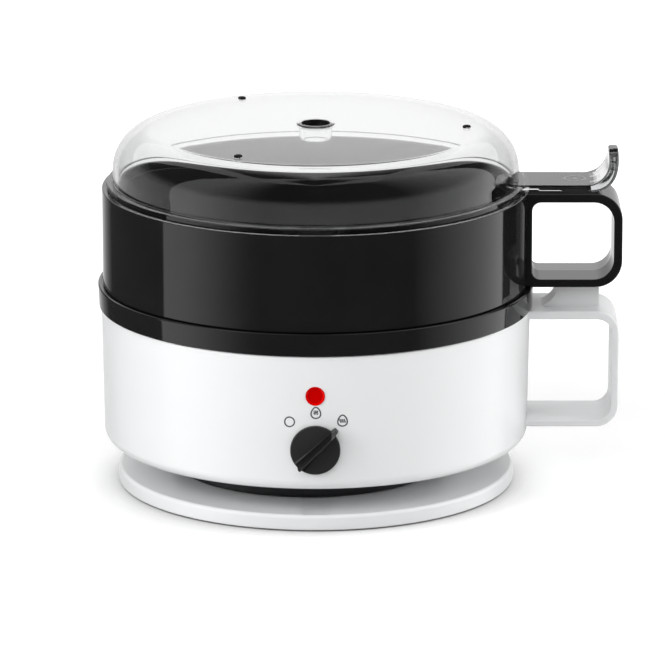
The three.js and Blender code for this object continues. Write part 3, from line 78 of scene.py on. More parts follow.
class Tree:
    """A thin wrapper that adds and links shader nodes."""

    def __init__(self, tree: bpy.types.NodeTree) -> None:
        """Keep the tree.

        Args:
            tree: The node tree to add to.
        """
        self.tree = tree

    def add(self, kind: str, **values: object) -> bpy.types.Node:
        """Add a node.

        Args:
            kind: The node type without its ShaderNode prefix.
            **values: Node properties, or input values by socket name with spaces as underscores.

        Returns:
            The new node.
        """
        node = self.tree.nodes.new(kind if kind.startswith("Node") else "ShaderNode" + kind)
        for name, value in values.items():
            if hasattr(node, name):
                setattr(node, name, value)
            else:
                self.feed(node.inputs[name.replace("_", " ")], value)
        return node

    def feed(self, socket: bpy.types.NodeSocket, value: object) -> None:
        """Link a socket to another one, or set its plain value.

        Args:
            socket: The input socket.
            value: An output socket, or a plain value.
        """
        if isinstance(value, bpy.types.NodeSocket):
            self.tree.links.new(value, socket)
        else:
            socket.default_value = value

    def math(
        self, operation: str, first: object, second: object = 0.0, third: object = 0.0
    ) -> bpy.types.NodeSocket:
        """Add a Math node.

        Args:
            operation: The operation's name.
            first: First value or socket.
            second: Second value or socket.
            third: Third value or socket.

        Returns:
            The result socket.
        """
        node = self.add("Math", operation=operation)
        for socket, value in zip(node.inputs, (first, second, third)):
            self.feed(socket, value)
        return node.outputs[0]

    def spread(self, value: object, low: float, high: float, to_low: float, to_high: float,
               smooth: bool = False) -> bpy.types.NodeSocket:
        """Map a range of a value to another range, clamped.

        Args:
            value: The value or socket to map.
            low: Start of the range.
            high: End of the range.
            to_low: Result at the start.
            to_high: Result at the end.
            smooth: Ease in and out.

        Returns:
            The result socket.
        """
        node = self.add("MapRange", interpolation_type="SMOOTHSTEP" if smooth else "LINEAR")
        for socket, number in zip(node.inputs, (value, low, high, to_low, to_high)):
            self.feed(socket, number)
        return node.outputs[0]

    def mix(self, share: object, first: object, second: object) -> bpy.types.NodeSocket:
        """Mix two colours.

        Args:
            share: Share of the second colour.
            first: First colour or socket.
            second: Second colour or socket.

        Returns:
            The colour socket.
        """
        node = self.add("Mix", data_type="RGBA")
        for index, value in ((0, share), (6, first), (7, second)):
            self.feed(node.inputs[index], value)
        return node.outputs[2]

    def group(self, tree: bpy.types.NodeTree, **values: object) -> bpy.types.Node:
        """Place a node group.

        Args:
            tree: The group's tree.
            **values: Input values by socket name with spaces as underscores.

        Returns:
            The group node.
        """
        node = self.add("Group")
        node.node_tree = tree
        for name, value in values.items():
            self.feed(node.inputs[name.replace("_", " ")], value)
        return node


def new_group(
    name: str, inputs: dict[str, float], outputs: dict[str, str]
) -> tuple[Tree, bpy.types.Node, bpy.types.Node]:
    """Start a shader node group.

    Args:
        name: The group's name.
        inputs: Float inputs and their defaults.
        outputs: Output names and socket types.

    Returns:
        The tree wrapper, the group's input node and its output node.
    """
    tree = bpy.data.node_groups.new(name, "ShaderNodeTree")
    for label, default in inputs.items():
        tree.interface.new_socket(
            name=label, in_out="INPUT", socket_type="NodeSocketFloat"
        ).default_value = default
    for label, kind in outputs.items():
        tree.interface.new_socket(name=label, in_out="OUTPUT", socket_type=kind)
    wrapper = Tree(tree)
    return wrapper, wrapper.add("NodeGroupInput"), wrapper.add("NodeGroupOutput")


def moulded_group() -> bpy.types.NodeTree:
    """Make the group for moulded plastic: a faint ripple, a fine spark-eroded grain and slow mottling.

    Returns:
        The group's tree, with outputs Height, Mottle and Wear.
    """
    tree, given, out = new_group(
        "moulded_surface",
        {"Ripple": 1.0, "Grain": 0.0, "Grain Scale": 3000.0},
        {"Height": "NodeSocketFloat", "Mottle": "NodeSocketFloat", "Wear": "NodeSocketFloat"},
    )
    spot = tree.add("TexCoord").outputs["Object"]
    ripple = tree.add("TexNoise", Vector=spot, Scale=160.0, Detail=2.0).outputs["Fac"]
    grain = tree.add(
        "TexNoise", Vector=spot, Scale=given.outputs["Grain Scale"], Detail=3.0, Roughness=0.7
    ).outputs["Fac"]
    mottle = tree.add("TexNoise", Vector=spot, Scale=38.0, Detail=4.0, Roughness=0.6).outputs["Fac"]
    scuff = tree.add("TexNoise", Vector=spot, Scale=620.0, Detail=5.0, Roughness=0.75).outputs["Fac"]
    height = tree.math(
        "MULTIPLY_ADD", grain, given.outputs["Grain"], tree.math("MULTIPLY", ripple, given.outputs["Ripple"])
    )
    tree.feed(out.inputs["Height"], height)
    tree.feed(out.inputs["Mottle"], tree.spread(mottle, 0.3, 0.7, 0.0, 1.0))
    tree.feed(out.inputs["Wear"], tree.spread(scuff, 0.45, 0.75, 0.0, 1.0, smooth=True))
    return tree.tree


def brushed_group() -> bpy.types.NodeTree:
    """Make the group for metal brushed in circles round the vertical axis.

    Returns:
        The group's tree, with outputs Height and Streak.
    """
    tree, given, out = new_group(
        "brushed_rings", {"Lines": 900.0}, {"Height": "NodeSocketFloat", "Streak": "NodeSocketFloat"},
    )
    spot = tree.add("TexCoord").outputs["Object"]
    parts = tree.add("SeparateXYZ", Vector=spot)
    radius = tree.math(
        "SQRT",
        tree.math("ADD", tree.math("POWER", parts.outputs[0], 2.0), tree.math("POWER", parts.outputs[1], 2.0))
    )
    angle = tree.math("ARCTAN2", parts.outputs[1], parts.outputs[0])
    across = tree.add(
        "CombineXYZ", X=tree.math("MULTIPLY", radius, given.outputs["Lines"]),
        Y=tree.math("MULTIPLY", angle, 1.4), Z=0.0
    )
    streak = tree.add(
        "TexNoise", Vector=across.outputs[0], Scale=3.0, Detail=4.0, Roughness=0.65
    ).outputs["Fac"]
    tree.feed(out.inputs["Height"], streak)
    tree.feed(out.inputs["Streak"], tree.spread(streak, 0.3, 0.7, 0.0, 1.0))
    return tree.tree


class Groups:
    """The shared node groups, each made once."""

    moulded: bpy.types.NodeTree
    brushed: bpy.types.NodeTree

    @classmethod
    def make(cls) -> None:
        """Make every group."""
        cls.moulded = moulded_group()
        cls.brushed = brushed_group()


# ---------------------------------------------------------------- finishes
Colour = tuple[float, float, float]


def rgba(colour: Colour, gain: float = 1.0) -> tuple[float, float, float, float]:
    """Return a colour with full alpha, brightened by gain."""
    return (*[min(1.0, part * gain) for part in colour], 1.0)


@dataclass(frozen=True)
class Finish:
    """What every finish has: a name, the record's slot and a colour."""

    name: str
    slot: str
    colour: Colour
    roughness: float = 0.3

    def material(self) -> bpy.types.Material:
        """Return the finish's material, made the first time it is asked for."""
        found = bpy.data.materials.get(self.name)
        if found is None:
            found = bpy.data.materials.new(self.name)
            found.use_nodes = True
            found.node_tree.nodes.clear()
            self.build(Tree(found.node_tree))
        return found

    def build(self, tree: Tree) -> None:
        """Build the node tree.

        Args:
            tree: The material's empty tree.
        """
        raise NotImplementedError

    def shade(
        self, tree: Tree, height: object, strength: float, distance: float, **values: object
    ) -> bpy.types.Node:
        """Add the Principled shader with a bump from a height.

        Args:
            tree: The material's tree.
            height: The height socket.
            strength: The bump's strength.
            distance: The bump's depth in metres.
            **values: Inputs of the shader.

        Returns:
            The shader node.
        """
        bump = tree.add("Bump", Strength=strength, Distance=distance, Height=height)
        return tree.add("BsdfPrincipled", Normal=bump.outputs[0], **values)

    def finish(self, tree: Tree, shader: bpy.types.NodeSocket) -> None:
        """Link a shader to the material's output."""
        tree.add("OutputMaterial", Surface=shader)


@dataclass(frozen=True)
class Moulded(Finish):
    """Moulded plastic or rubber."""

    ripple: float = 1.0
    grain: float = 0.0
    grain_scale: float = 3000.0
    relief: float = 0.00002
    mottling: float = 0.03
    scuff: float = 0.08
    ior: float = 1.5
    gloss: float = 0.5

    def build(self, tree: Tree) -> None:
        """Build plastic with mottled colour, uneven gloss and a moulded skin."""
        skin = tree.group(Groups.moulded, Ripple=self.ripple, Grain=self.grain, Grain_Scale=self.grain_scale)
        colour = tree.mix(
            skin.outputs["Mottle"], rgba(self.colour, 1 - self.mottling), rgba(self.colour, 1 + self.mottling)
        )
        rough = tree.spread(skin.outputs["Wear"], 0.0, 1.0, self.roughness, self.roughness + self.scuff)
        shader = self.shade(
            tree, skin.outputs["Height"], 0.6, self.relief,
            Base_Color=colour, Roughness=rough, IOR=self.ior, Specular_IOR_Level=self.gloss,
        )
        self.finish(tree, shader.outputs[0])


@dataclass(frozen=True)
class Metal(Finish):
    """Metal, brushed in rings or plain."""

    lines: float = 900.0
    relief: float = 0.000004

    def build(self, tree: Tree) -> None:
        """Build metal with ring-shaped streaks."""
        rings = tree.group(Groups.brushed, Lines=self.lines)
        skin = tree.group(Groups.moulded, Ripple=1.0, Grain=0.0, Grain_Scale=1500.0)
        colour = tree.mix(rings.outputs["Streak"], rgba(self.colour, 0.93), rgba(self.colour, 1.04))
        rough = tree.spread(
            tree.math("ADD", rings.outputs["Streak"], skin.outputs["Wear"]), 0.0, 2.0, self.roughness,
            self.roughness + 0.16,
        )
        shader = self.shade(
            tree, rings.outputs["Height"], 0.5, self.relief, Base_Color=colour, Roughness=rough, Metallic=1.0,
        )
        self.finish(tree, shader.outputs[0])


@dataclass(frozen=True)
class Clear(Finish):
    """Clear plastic or glass, which lets the lamps' light through."""

    ior: float = 1.49
    relief: float = 0.0000012

    def build(self, tree: Tree) -> None:
        """Build a see-through shader with a faint moulded ripple."""
        skin = tree.group(Groups.moulded, Ripple=1.0, Grain=0.0, Grain_Scale=2000.0)
        rough = tree.spread(skin.outputs["Wear"], 0.0, 1.0, self.roughness, self.roughness + 0.01)
        glass = self.shade(
            tree, skin.outputs["Height"], 0.3, self.relief,
            Base_Color=rgba(self.colour), Roughness=rough, IOR=self.ior, Transmission_Weight=1.0,
        )
        through = tree.add("BsdfTransparent", Color=rgba(self.colour, 0.97))
        path = tree.add("LightPath")
        lit = tree.add("MixShader")
        tree.feed(lit.inputs[0], path.outputs["Is Shadow Ray"])
        tree.feed(lit.inputs[1], glass.outputs[0])
        tree.feed(lit.inputs[2], through.outputs[0])
        self.finish(tree, lit.outputs[0])


@dataclass(frozen=True)
class PaintedShade(Finish):
    """Painted shade on the inner side of a clear wall, which only that side shows: black for the dark seen inside
    a vent.
    """

    def build(self, tree: Tree) -> None:
        """Build black painted shade that a ray from the outer side passes."""
        skin = tree.group(Groups.moulded, Ripple=1.0, Grain=0.3, Grain_Scale=2500.0)
        colour = tree.mix(skin.outputs["Mottle"], rgba(self.colour, 0.9), rgba(self.colour, 1.1))
        paint = self.shade(
            tree, skin.outputs["Height"], 0.3, 0.00001, Base_Color=colour, Roughness=self.roughness
        )
        clear = tree.add("BsdfTransparent", Color=(1.0, 1.0, 1.0, 1.0))
        mix = tree.add("MixShader")
        tree.feed(mix.inputs[0], tree.add("NewGeometry").outputs["Backfacing"])
        tree.feed(mix.inputs[1], paint.outputs[0])
        tree.feed(mix.inputs[2], clear.outputs[0])
        self.finish(tree, mix.outputs[0])


@dataclass(frozen=True)
class Lens(Finish):
    """Deep coloured lens plastic."""

    def build(self, tree: Tree) -> None:
        """Build a saturated shader with a weak gloss."""
        skin = tree.group(Groups.moulded, Ripple=1.0, Grain=0.2, Grain_Scale=1800.0)
        colour = tree.mix(skin.outputs["Mottle"], rgba(self.colour, 0.94), rgba(self.colour, 1.05))
        shader = self.shade(
            tree, skin.outputs["Height"], 0.3, 0.000004, Base_Color=colour, Roughness=self.roughness,
            Specular_IOR_Level=0.05,
        )
        self.finish(tree, shader.outputs[0])


WHITE = Moulded(
    "white_gloss", "white_plastic", (0.785, 0.793, 0.8), 0.25, mottling=0.004, relief=0.0000015, scuff=0.008
)
SATIN = Moulded("white_satin", "white_plastic", (0.62, 0.625, 0.63), 0.6, mottling=0.01, relief=0.000012)
BLACK = Moulded(
    "black_gloss", "black_plastic", (0.0085, 0.0085, 0.009), 0.05, mottling=0.15, scuff=0.03, relief=0.000001
)
KNOB_BLACK = Moulded("black_satin", "black_plastic", (0.025, 0.025, 0.0255), 0.42, grain=0.9,
    grain_scale=5200.0,
                     relief=0.00003, mottling=0.08)
# Painted shade: a darker black for the knob grip's flanks and the shadow beside the grip, and for the sleeves in
# the steam vents where their holes show dark.
SHADE_BLACK = Moulded("painted_shade_black", "black_plastic", (0.008, 0.008, 0.0083), 0.55, grain=0.6,
    grain_scale=5200.0,
                      relief=0.00002, mottling=0.08, gloss=0.1)
DRUM_BLACK = Moulded("drum_black", "black_plastic", (0.006, 0.0065, 0.0085), 0.35, mottling=0.1)
REST_BLACK = Moulded(
    "rest_black", "black_plastic", (0.028, 0.028, 0.029), 0.8, scuff=0.05, relief=0.000002, gloss=0.0
)
# Painted shade: black inside the centre vent, where the clear vent walls show dark.
VENT_SHADE = PaintedShade("vent_painted_shade", "black_plastic", (0.004, 0.004, 0.0042), 0.5)
CLEAR = Clear("clear_lid", "clear_plastic", (0.985, 0.99, 0.99), 0.0)
FROST = Moulded("clear_lid_frost", "clear_plastic", (0.30, 0.302, 0.303), 0.4, relief=0.000002)
# Painted shade: darker clear plastic for the tongue's rounded rims, side and tip, standing in for the dark that
# refraction and the black handle under it show there.
CLEAR_RIM_SHADE = Clear("clear_lid_rim_shade", "clear_plastic", (0.02, 0.021, 0.022), 0.0)
CLEAR_SIDE_SHADE = Clear("clear_lid_side_shade", "clear_plastic", (0.5, 0.51, 0.52), 0.0)
CLEAR_TIP_SHADE = Clear("clear_lid_tip_shade", "clear_plastic", (0.11, 0.112, 0.115), 0.0)
CLEAR_REST = Clear("clear_lid_at_rest", "clear_plastic", (0.985, 0.99, 0.99), 0.0, ior=1.0)
RED = Lens("lens_red", "red_lens", (0.5, 0.0, 0.0), 0.09)
# Painted light: a brighter red for the lens's dished rim, standing in for light that gathers in the lens.
RED_RIM_LIT = Lens("lens_rim_painted_light", "red_lens", (0.66, 0.0, 0.0), 0.09)
RUBBER = Moulded(
    "foot_rubber", "rubber", (0.014, 0.014, 0.015), 0.75, grain=1.2, grain_scale=4200.0, relief=0.00004
)
SILICONE = Moulded("seal_silicone", "silicone", (0.42, 0.43, 0.44), 0.6, grain=0.4)
STEEL = Metal("brushed_steel", "steel", (0.62, 0.62, 0.615), 0.2)
ALUMINIUM = Metal("pressed_aluminium", "aluminium", (0.70, 0.71, 0.715), 0.34, lines=300.0)
BRASS = Metal("turned_brass", "brass", (0.62, 0.46, 0.17), 0.3, lines=300.0)
CREAM = Moulded("terminal_cream", "cream_plastic", (0.62, 0.56, 0.42), 0.45, mottling=0.03)
LAMP_GLASS = Clear("neon_glass", "lamp_glass", (0.97, 0.9, 0.82), 0.02)
WIRE_BROWN = Moulded("sleeve_brown", "wire_brown", (0.13, 0.05, 0.02), 0.5)
WIRE_BLUE = Moulded("sleeve_blue", "wire_blue", (0.03, 0.11, 0.38), 0.5)
WIRE_RED = Moulded("sleeve_red", "wire_red", (0.38, 0.02, 0.025), 0.5)
PRINT = Moulded("printed_grey", "black_plastic", (0.075, 0.078, 0.082), 0.5, mottling=0.1)

CAD_FINISHES: dict[str, Finish] = {
    "foot_": RUBBER, "base_underplate": WHITE, "base_screw": STEEL, "collar_screw": STEEL,
    "cord_gland": RUBBER,
    "terminal_block": CREAM, "wire_live": WIRE_BROWN, "wire_neutral": WIRE_BLUE, "wire_switched": WIRE_RED,
    "wire_element": WIRE_RED, "bowl_seal": SILICONE, "heating_element": STEEL, "heat_shield": ALUMINIUM,
    "thermostat_bracket": STEEL, "thermostat": ALUMINIUM, "thermal_fuse": BRASS, "stud_nut": STEEL,
    "rotary_switch": CREAM, "switch_screw": STEEL, "switch_spindle": BRASS, "lamp_holder": CREAM,
    "neon_lamp": LAMP_GLASS,
}


# ---------------------------------------------------------------- outlines


@dataclass(frozen=True)
class Corner:
    """A corner of an outline and the radius of the round over it."""

    x: float
    z: float
    round: float = 0.0


def rounded(corners: Sequence[Corner], steps: int = 6, closed: bool = True) -> list[Flat]:
    """Round the corners of an outline.

    Args:
        corners: The corners in order.
        steps: Pieces of each round.
        closed: Whether the last corner joins the first.

    Returns:
        The points of the rounded outline.
    """
    count = len(corners)
    line: list[Flat] = []
    for i, here in enumerate(corners):
        if here.round <= 0 or (not closed and i in (0, count - 1)):
            line.append((here.x, here.z))
            continue
        spot = Vector((here.x, here.z))
        before, after = corners[i - 1], corners[(i + 1) % count]
        back = (Vector((before.x, before.z)) - spot).normalized()
        on = (Vector((after.x, after.z)) - spot).normalized()
        half = math.acos(max(-1.0, min(1.0, back.dot(on)))) / 2
        reach = here.round / math.tan(half)
        centre = spot + (back + on).normalized() * (here.round / math.sin(half))
        start, end = spot + back * reach - centre, spot + on * reach - centre
        sweep = start.angle_signed(end)
        for k in range(steps + 1):
            a = -sweep * k / steps
            turned = Vector(
                (start.x * math.cos(a) - start.y * math.sin(a), start.x * math.sin(a) + start.y * math.cos(a))
            )
            line.append(tuple(centre + turned))
    return line


def frame_loop(low: Flat, high: Flat, rounds: Sequence[float], grow: float, steps: int = 10) -> list[Flat]:
    """Return a rounded rectangle, grown outwards.

    Args:
        low: Lowest corner.
        high: Highest corner.
        rounds: Corner radii, from the lowest corner round.
        grow: Distance that the outline moves outwards.
        steps: Pieces of each round.

    Returns:
        The outline's points.
    """
    (x0, z0), (x1, z1) = (low[0] - grow, low[1] - grow), (high[0] + grow, high[1] + grow)
    spots = [(x0, z0), (x1, z0), (x1, z1), (x0, z1)]
    return rounded([Corner(x, z, max(0.05, r + grow)) for (x, z), r in zip(spots, rounds)], steps)


# ---------------------------------------------------------------- meshes


class Shell:
    """A mesh in the making, in millimetres."""

    def __init__(self) -> None:
        """Start an empty mesh."""
        self.mesh = bmesh.new()

    def grid(
        self, rows: Sequence[Sequence[Point]], wrap_rows: bool = False, wrap: bool = True, cap: bool = False
    ) -> Shell:
        """Add a sheet of quads through rows of points.

        Args:
            rows: Rows with the same number of points, or one point for a pole.
            wrap_rows: Whether the last row joins the first.
            wrap: Whether each row is closed.
            cap: Whether the first and last rows are filled.

        Returns:
            This shell.
        """
        made = [[self.mesh.verts.new(p) for p in row] for row in rows]
        pairs = list(zip(made, made[1:])) + ([(made[-1], made[0])] if wrap_rows else [])
        for first, second in pairs:
            count = max(len(first), len(second))
            for i in range(count if wrap else count - 1):
                j = (i + 1) % count
                if len(first) == 1:
                    self.mesh.faces.new((first[0], second[j], second[i]))
                elif len(second) == 1:
                    self.mesh.faces.new((first[i], first[j], second[0]))
                else:
                    self.mesh.faces.new((first[i], first[j], second[j], second[i]))
        if cap:
            self.mesh.faces.new(list(reversed(made[0])))
            self.mesh.faces.new(made[-1])
        return self

    def lathe(
        self, line: Sequence[Flat], sides: int = RING_SIDES, centre: Flat = (0, 0), closed: bool = True
    ) -> Shell:
        """Add a body turned round a vertical axis.

        Args:
            line: Radius and height of the closed section. It may start and end on the axis.
            sides: Facets round the axis.
            centre: The axis.
            closed: Whether the section's end joins its start.

        Returns:
            This shell.
        """
        turn = [(math.cos(TURN * i / sides), math.sin(TURN * i / sides)) for i in range(sides)]
        rows = [
            [(centre[0], centre[1], z)] if r < 1e-6 else [
                (centre[0] + r * c, centre[1] + r * s, z) for c, s in turn
            ]
            for r, z in line
        ]
        return self.grid(rows, wrap_rows=closed and line[0][0] > 1e-6)

    def prism(self, outline: Sequence[Flat], y0: float, y1: float) -> Shell:
        """Add a plate with an outline in X and Z, between two depths."""
        return self.grid([[(x, y, z) for x, z in outline] for y in (y0, y1)], cap=True)

    def turn_about(self, matrix: Matrix) -> Shell:
        """Move the mesh by a matrix."""
        self.mesh.transform(matrix)
        return self

    def piece(self, name: str, finish: Finish, sharp: float = 32.0) -> bpy.types.Object:
        """Finish the mesh as an object in metres.

        Args:
            name: The piece's name.
            finish: Its finish.
            sharp: Edges that turn more than this angle stay sharp.

        Returns:
            The object.
        """
        bmesh.ops.remove_doubles(self.mesh, verts=self.mesh.verts, dist=1e-4)
        bmesh.ops.recalc_face_normals(self.mesh, faces=self.mesh.faces)
        self.mesh.transform(Matrix.Scale(MM, 4))
        data = bpy.data.meshes.new(name)
        self.mesh.to_mesh(data)
        self.mesh.free()
        data.polygons.foreach_set("use_smooth", [True] * len(data.polygons))
        data.set_sharp_from_angle(angle=math.radians(sharp))
        obj = bpy.data.objects.new(name, data)
        bpy.context.collection.objects.link(obj)
        data.materials.append(finish.material())
        return obj


def bake_modifiers(obj: bpy.types.Object, sharp: float = 32.0) -> bpy.types.Object:
    """Apply an object's modifiers to its mesh.

    Args:
        obj: The object.
        sharp: Edges that turn more than this angle stay sharp.

    Returns:
        The same object.
    """
    evaluated = obj.evaluated_get(bpy.context.evaluated_depsgraph_get())
    data = bpy.data.meshes.new_from_object(evaluated)
    obj.modifiers.clear()
    obj.data = data
    data.polygons.foreach_set("use_smooth", [True] * len(data.polygons))
    data.set_sharp_from_angle(angle=math.radians(sharp))
    return obj


def combine(
    obj: bpy.types.Object, others: Iterable[bpy.types.Object], operation: str = "DIFFERENCE"
) -> bpy.types.Object:
    """Cut other objects out of an object, or join them to it, and delete them.

    Args:
        obj: The object that is changed.
        others: The cutters or additions.
        operation: The Boolean modifier's operation.

    Returns:
        The changed object.
    """
    others = list(others)
    for other in others:
        modifier = obj.modifiers.new("combine", "BOOLEAN")
        modifier.operation, modifier.solver, modifier.object = operation, "EXACT", other
    bake_modifiers(obj)
    for other in others:
        bpy.data.objects.remove(other, do_unlink=True)
    return obj


def soften(obj: bpy.types.Object, width: float, segments: int = 3, angle: float = 40.0) -> bpy.types.Object:
    """Bevel the sharp edges of an object.

    Args:
        obj: The object.
        width: Width of the bevel in millimetres.
        segments: Pieces of the bevel.
        angle: Edges that turn more than this are bevelled.

    Returns:
        The object.
    """
    modifier = obj.modifiers.new("soften", "BEVEL")
    modifier.width, modifier.segments = width * MM, segments
    modifier.limit_method, modifier.angle_limit = "ANGLE", math.radians(angle)
    return bake_modifiers(obj)


def even_normals(obj: bpy.types.Object) -> bpy.types.Object:
    """Weight an object's normals by face area, so that flats stay flat beside their rounds.

    Args:
        obj: The object.

    Returns:
        The object.
    """
    modifier = obj.modifiers.new("even_normals", "WEIGHTED_NORMAL")
    modifier.mode, modifier.weight, modifier.keep_sharp = "FACE_AREA", 50, True
    evaluated = obj.evaluated_get(bpy.context.evaluated_depsgraph_get())
    data = bpy.data.meshes.new_from_object(evaluated)
    obj.modifiers.clear()
    obj.data = data
    return obj


def place(obj: bpy.types.Object, body: Body, *nodes: str) -> bpy.types.Object:
    """Ride a piece on a body in place of CAD nodes, and report it.

    Args:
        obj: The piece.
        body: The body it moves with.
        *nodes: The CAD nodes that it stands for.

    Returns:
        The piece.
    """
    even_normals(obj)
    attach(obj, body.value)
    if nodes:
        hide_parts(*nodes)
    LOG.info("%s rides on %s, %d faces", obj.name, body.value, len(obj.data.polygons))
    return obj


@dataclass(frozen=True)
class Span:
    """The box of a CAD node."""

    low: Vector
    high: Vector

    @classmethod
    def of(cls, node: str) -> Span:
        """Return the box of the named node, in millimetres."""
        low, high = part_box(node)
        return cls(low / MM, high / MM)

    @property
    def centre(self) -> Vector:
        """The middle of the box."""
        return (self.low + self.high) / 2


def strap(outer: Callable[[float], list[Flat]], inner: Callable[[float], list[Flat]], half: float,
          edge: float, lean: Flat, closed: bool) -> Shell:
    """Build a flat strap that is bent into a loop, with rounded edges and a parting line at mid depth.

    Args:
        outer: Gives the outer line, grown by a distance.
        inner: Gives the inner line, grown by a distance.
        half: Half of the strap's depth.
        edge: Radius of its long edges.
        lean: How far the outer and the inner face lean from their edges to the parting line.
        closed: Whether the loop is closed.

    Returns:
        The shell.
    """
    turns = [math.radians(90 * k / 4) for k in range(5)]
    rim = [(edge * (1 - math.sin(a)), half - edge * (1 - math.cos(a))) for a in turns]
    crease = 0.12
    rows: list[list[Point]] = []
    for line, way, lean_by in ((outer, -1, lean[0]), (inner, 1, lean[1])):
        near = [(way * (g + lean_by), way * y) for g, y in rim]
        far = [(way * (g + lean_by), -way * y) for g, y in reversed(rim)]
        middle = [(0.0, way * crease), (0.0, -way * crease)]
        rows += [[(x, y, z) for x, z in line(grow)] for grow, y in [*near, *middle, *far]]
    if closed:
        return Shell().grid(rows, wrap_rows=True)
    shell = Shell().grid(rows, wrap_rows=True, wrap=False)
    bmesh.ops.holes_fill(shell.mesh, edges=[e for e in shell.mesh.edges if e.is_boundary])
    return shell


# ---------------------------------------------------------------- base


@dataclass
class Base:
    """The base disc, the cord drum, the housing with its handle, and the collar."""

    disc: Span = field(default_factory=lambda: Span.of("base_disc"))
    drum: Span = field(default_factory=lambda: Span.of("cord_drum"))
    housing: Span = field(default_factory=lambda: Span.of("housing"))
    collar_box: Span = field(default_factory=lambda: Span.of("collar"))
    lens: Span = field(default_factory=lambda: Span.of("lamp_lens"))
    spindle: Span = field(default_factory=lambda: Span.of("switch_spindle"))
    lens_hole: float = 4.03
    hub_hole: float = 5.6
    hole_start: float = 84.0
    hole_length: float = 10.0
    disc_wall: float = 2.2
    disc_edge: float = 1.5
    channel_half: float = 5.2
    channel_depth: float = 0.3
    foot_radius: float = 89.8
    top_radius: float = 90.8
    height: float = 57.7
    wall: float = 2.4
    foot_round: float = 5.0
    wire_way: float = 10.0
    handle_drop: float = 0.0
    handle_height: float = 50.7
    handle_strap: float = 3.2
    handle_over: float = 3.9
    handle_grow: float = 0.4
    handle_round: float = 9.5
    handle_half: float = 16.0
    post_start: float = 92.0
    post_end: float = 119.8
    post_half: float = 6.7
    post_gap: float = 0.35
    scoop: float = 10.3
    collar_height: float = 9.5
    collar_foot: float = 91.8
    collar_grow: float = 0.35
    recess: float = 90.6
    seat_inner: float = 86.8
    shelf_mouth: float = 78.5

    @property
    def top(self) -> float:
        """Height of the housing's top edge."""
        return self.housing.low.z + self.height

    def build(self) -> None:
        """Build every piece of the base."""
        self.build_disc()
        self.build_drum()
        self.build_housing()
        self.build_handle()
        self.build_collar()

    def build_disc(self) -> None:
        """Build the white disc with a shallow slot from the drum towards the front, with a darker satin strip
        along its floor.
        """
        radius, low, high = self.disc.high.x, self.disc.low.z, self.disc.high.z
        inner = radius - self.disc_wall
        line = rounded([
            Corner(0, high - self.disc_wall), Corner(inner, high - self.disc_wall), Corner(inner, low),
            Corner(radius, low, 0.7), Corner(radius, high, self.disc_edge), Corner(0, high),
        ], 8)
        disc = Shell().lathe(line).piece("base_disc_top", WHITE)
        half, front = self.channel_half, radius - 1.0
        floor = high - self.channel_depth
        slot = Shell().prism(
            [(-half, floor), (half, floor), (half, high + 1), (-half, high + 1)], -front, -50.0
        )
        combine(disc, [slot.piece("slot", WHITE)])
        place(disc, Body.BASE, "base_disc")
        # A strip of darker satin white along the slot's floor.
        strip = Shell().prism(
            [
                (0.05 - half, floor - 0.1), (half - 0.05, floor - 0.1), (half - 0.05, floor + 0.1),
                (0.05 - half, floor + 0.1)
            ],
            0.05 - front, -50.0,
        )
        place(strip.piece("disc_channel", SATIN), Body.BASE)

    def build_drum(self) -> None:
        """Build the black drum under the housing."""
        low, high, centre = self.drum.low, self.drum.high, self.drum.centre
        radius = (high.x - low.x) / 2
        line = rounded([
            Corner(self.wire_way, low.z), Corner(radius, low.z, 0.8), Corner(radius, high.z, 0.8),
            Corner(self.wire_way, high.z),
        ])
        drum = Shell().lathe(line, RING_SIDES, (centre.x, centre.y)).piece("cord_drum_wall", DRUM_BLACK)
        place(drum, Body.BASE, "cord_drum")

    def build_housing(self) -> None:
        """Build the white housing with the holes of the lamp and the knob."""
        low, top = self.housing.low.z, self.top
        line = rounded([
            Corner(self.wire_way, low), Corner(self.foot_radius, low, self.foot_round),
            Corner(self.top_radius, top, 0.4), Corner(self.top_radius - self.wall, top, 0.3),
            Corner(self.foot_radius - self.wall, low + self.wall, self.foot_round - self.wall),
            Corner(self.wire_way, low + self.wall),
        ], 12)
        housing = Shell().lathe(line).piece("housing_shell", WHITE)
        cutters = []
        for radius, height in ((self.lens_hole, self.lens.centre.z), (self.hub_hole, self.spindle.centre.z)):
            deep = self.hole_length
            hole = Shell().lathe([(0, 0), (radius, 0), (radius, deep), (0, deep)], 96)
            hole.turn_about(
                Matrix.Translation((0.0, -self.hole_start, height)) @ Matrix.Rotation(math.radians(90), 4, "X")
            )
            cutters.append(hole.piece("hole", WHITE))
        combine(housing, cutters)
        place(housing, Body.BASE, "housing")

    def build_handle(self) -> None:
        """Build the white loop handle and the post on it."""
        root = self.foot_radius - self.wall + 0.3
        reach = self.housing.high.x + self.handle_grow
        top = self.top - self.handle_drop
        bottom = top - self.handle_height

        def line(inset: float, over: float, grow: float) -> list[Flat]:
            """Return the loop's line, set in by its own measure at the top, and grown."""
            out = grow - inset
            bend = max(0.2, self.handle_round + out)
            return rounded([
                Corner(root, top + grow - over), Corner(reach + out, top + grow - over, bend),
                Corner(reach + out, bottom - out, bend), Corner(root, bottom - out),
            ], 14, closed=False)

        loop = strap(
            lambda grow: line(0.0, 0.0, grow), lambda grow: line(self.handle_strap, self.handle_over, grow),
            self.handle_half, 0.7, (0.1, 0.2), closed=False,
        )
        place(loop.piece("housing_handle", WHITE), Body.BASE)
        rest = self.housing.high.z - self.post_gap
        centre = (self.post_start, rest + self.post_gap - 0.7)
        arc = [
            (centre[0] + self.scoop * math.sin(a), centre[1] - self.scoop * math.cos(a))
            for a in (math.radians(90 * k / 16) for k in range(17))
        ]
        outline = [
            (self.post_start, top - 1.0), *arc, (arc[-1][0], rest), (self.post_end, rest),
            (self.post_end, top - 1.0)
        ]
        post = Shell().prism(outline, -self.post_half, self.post_half).piece("handle_post", WHITE)
        place(soften(post, 0.5), Body.BASE)

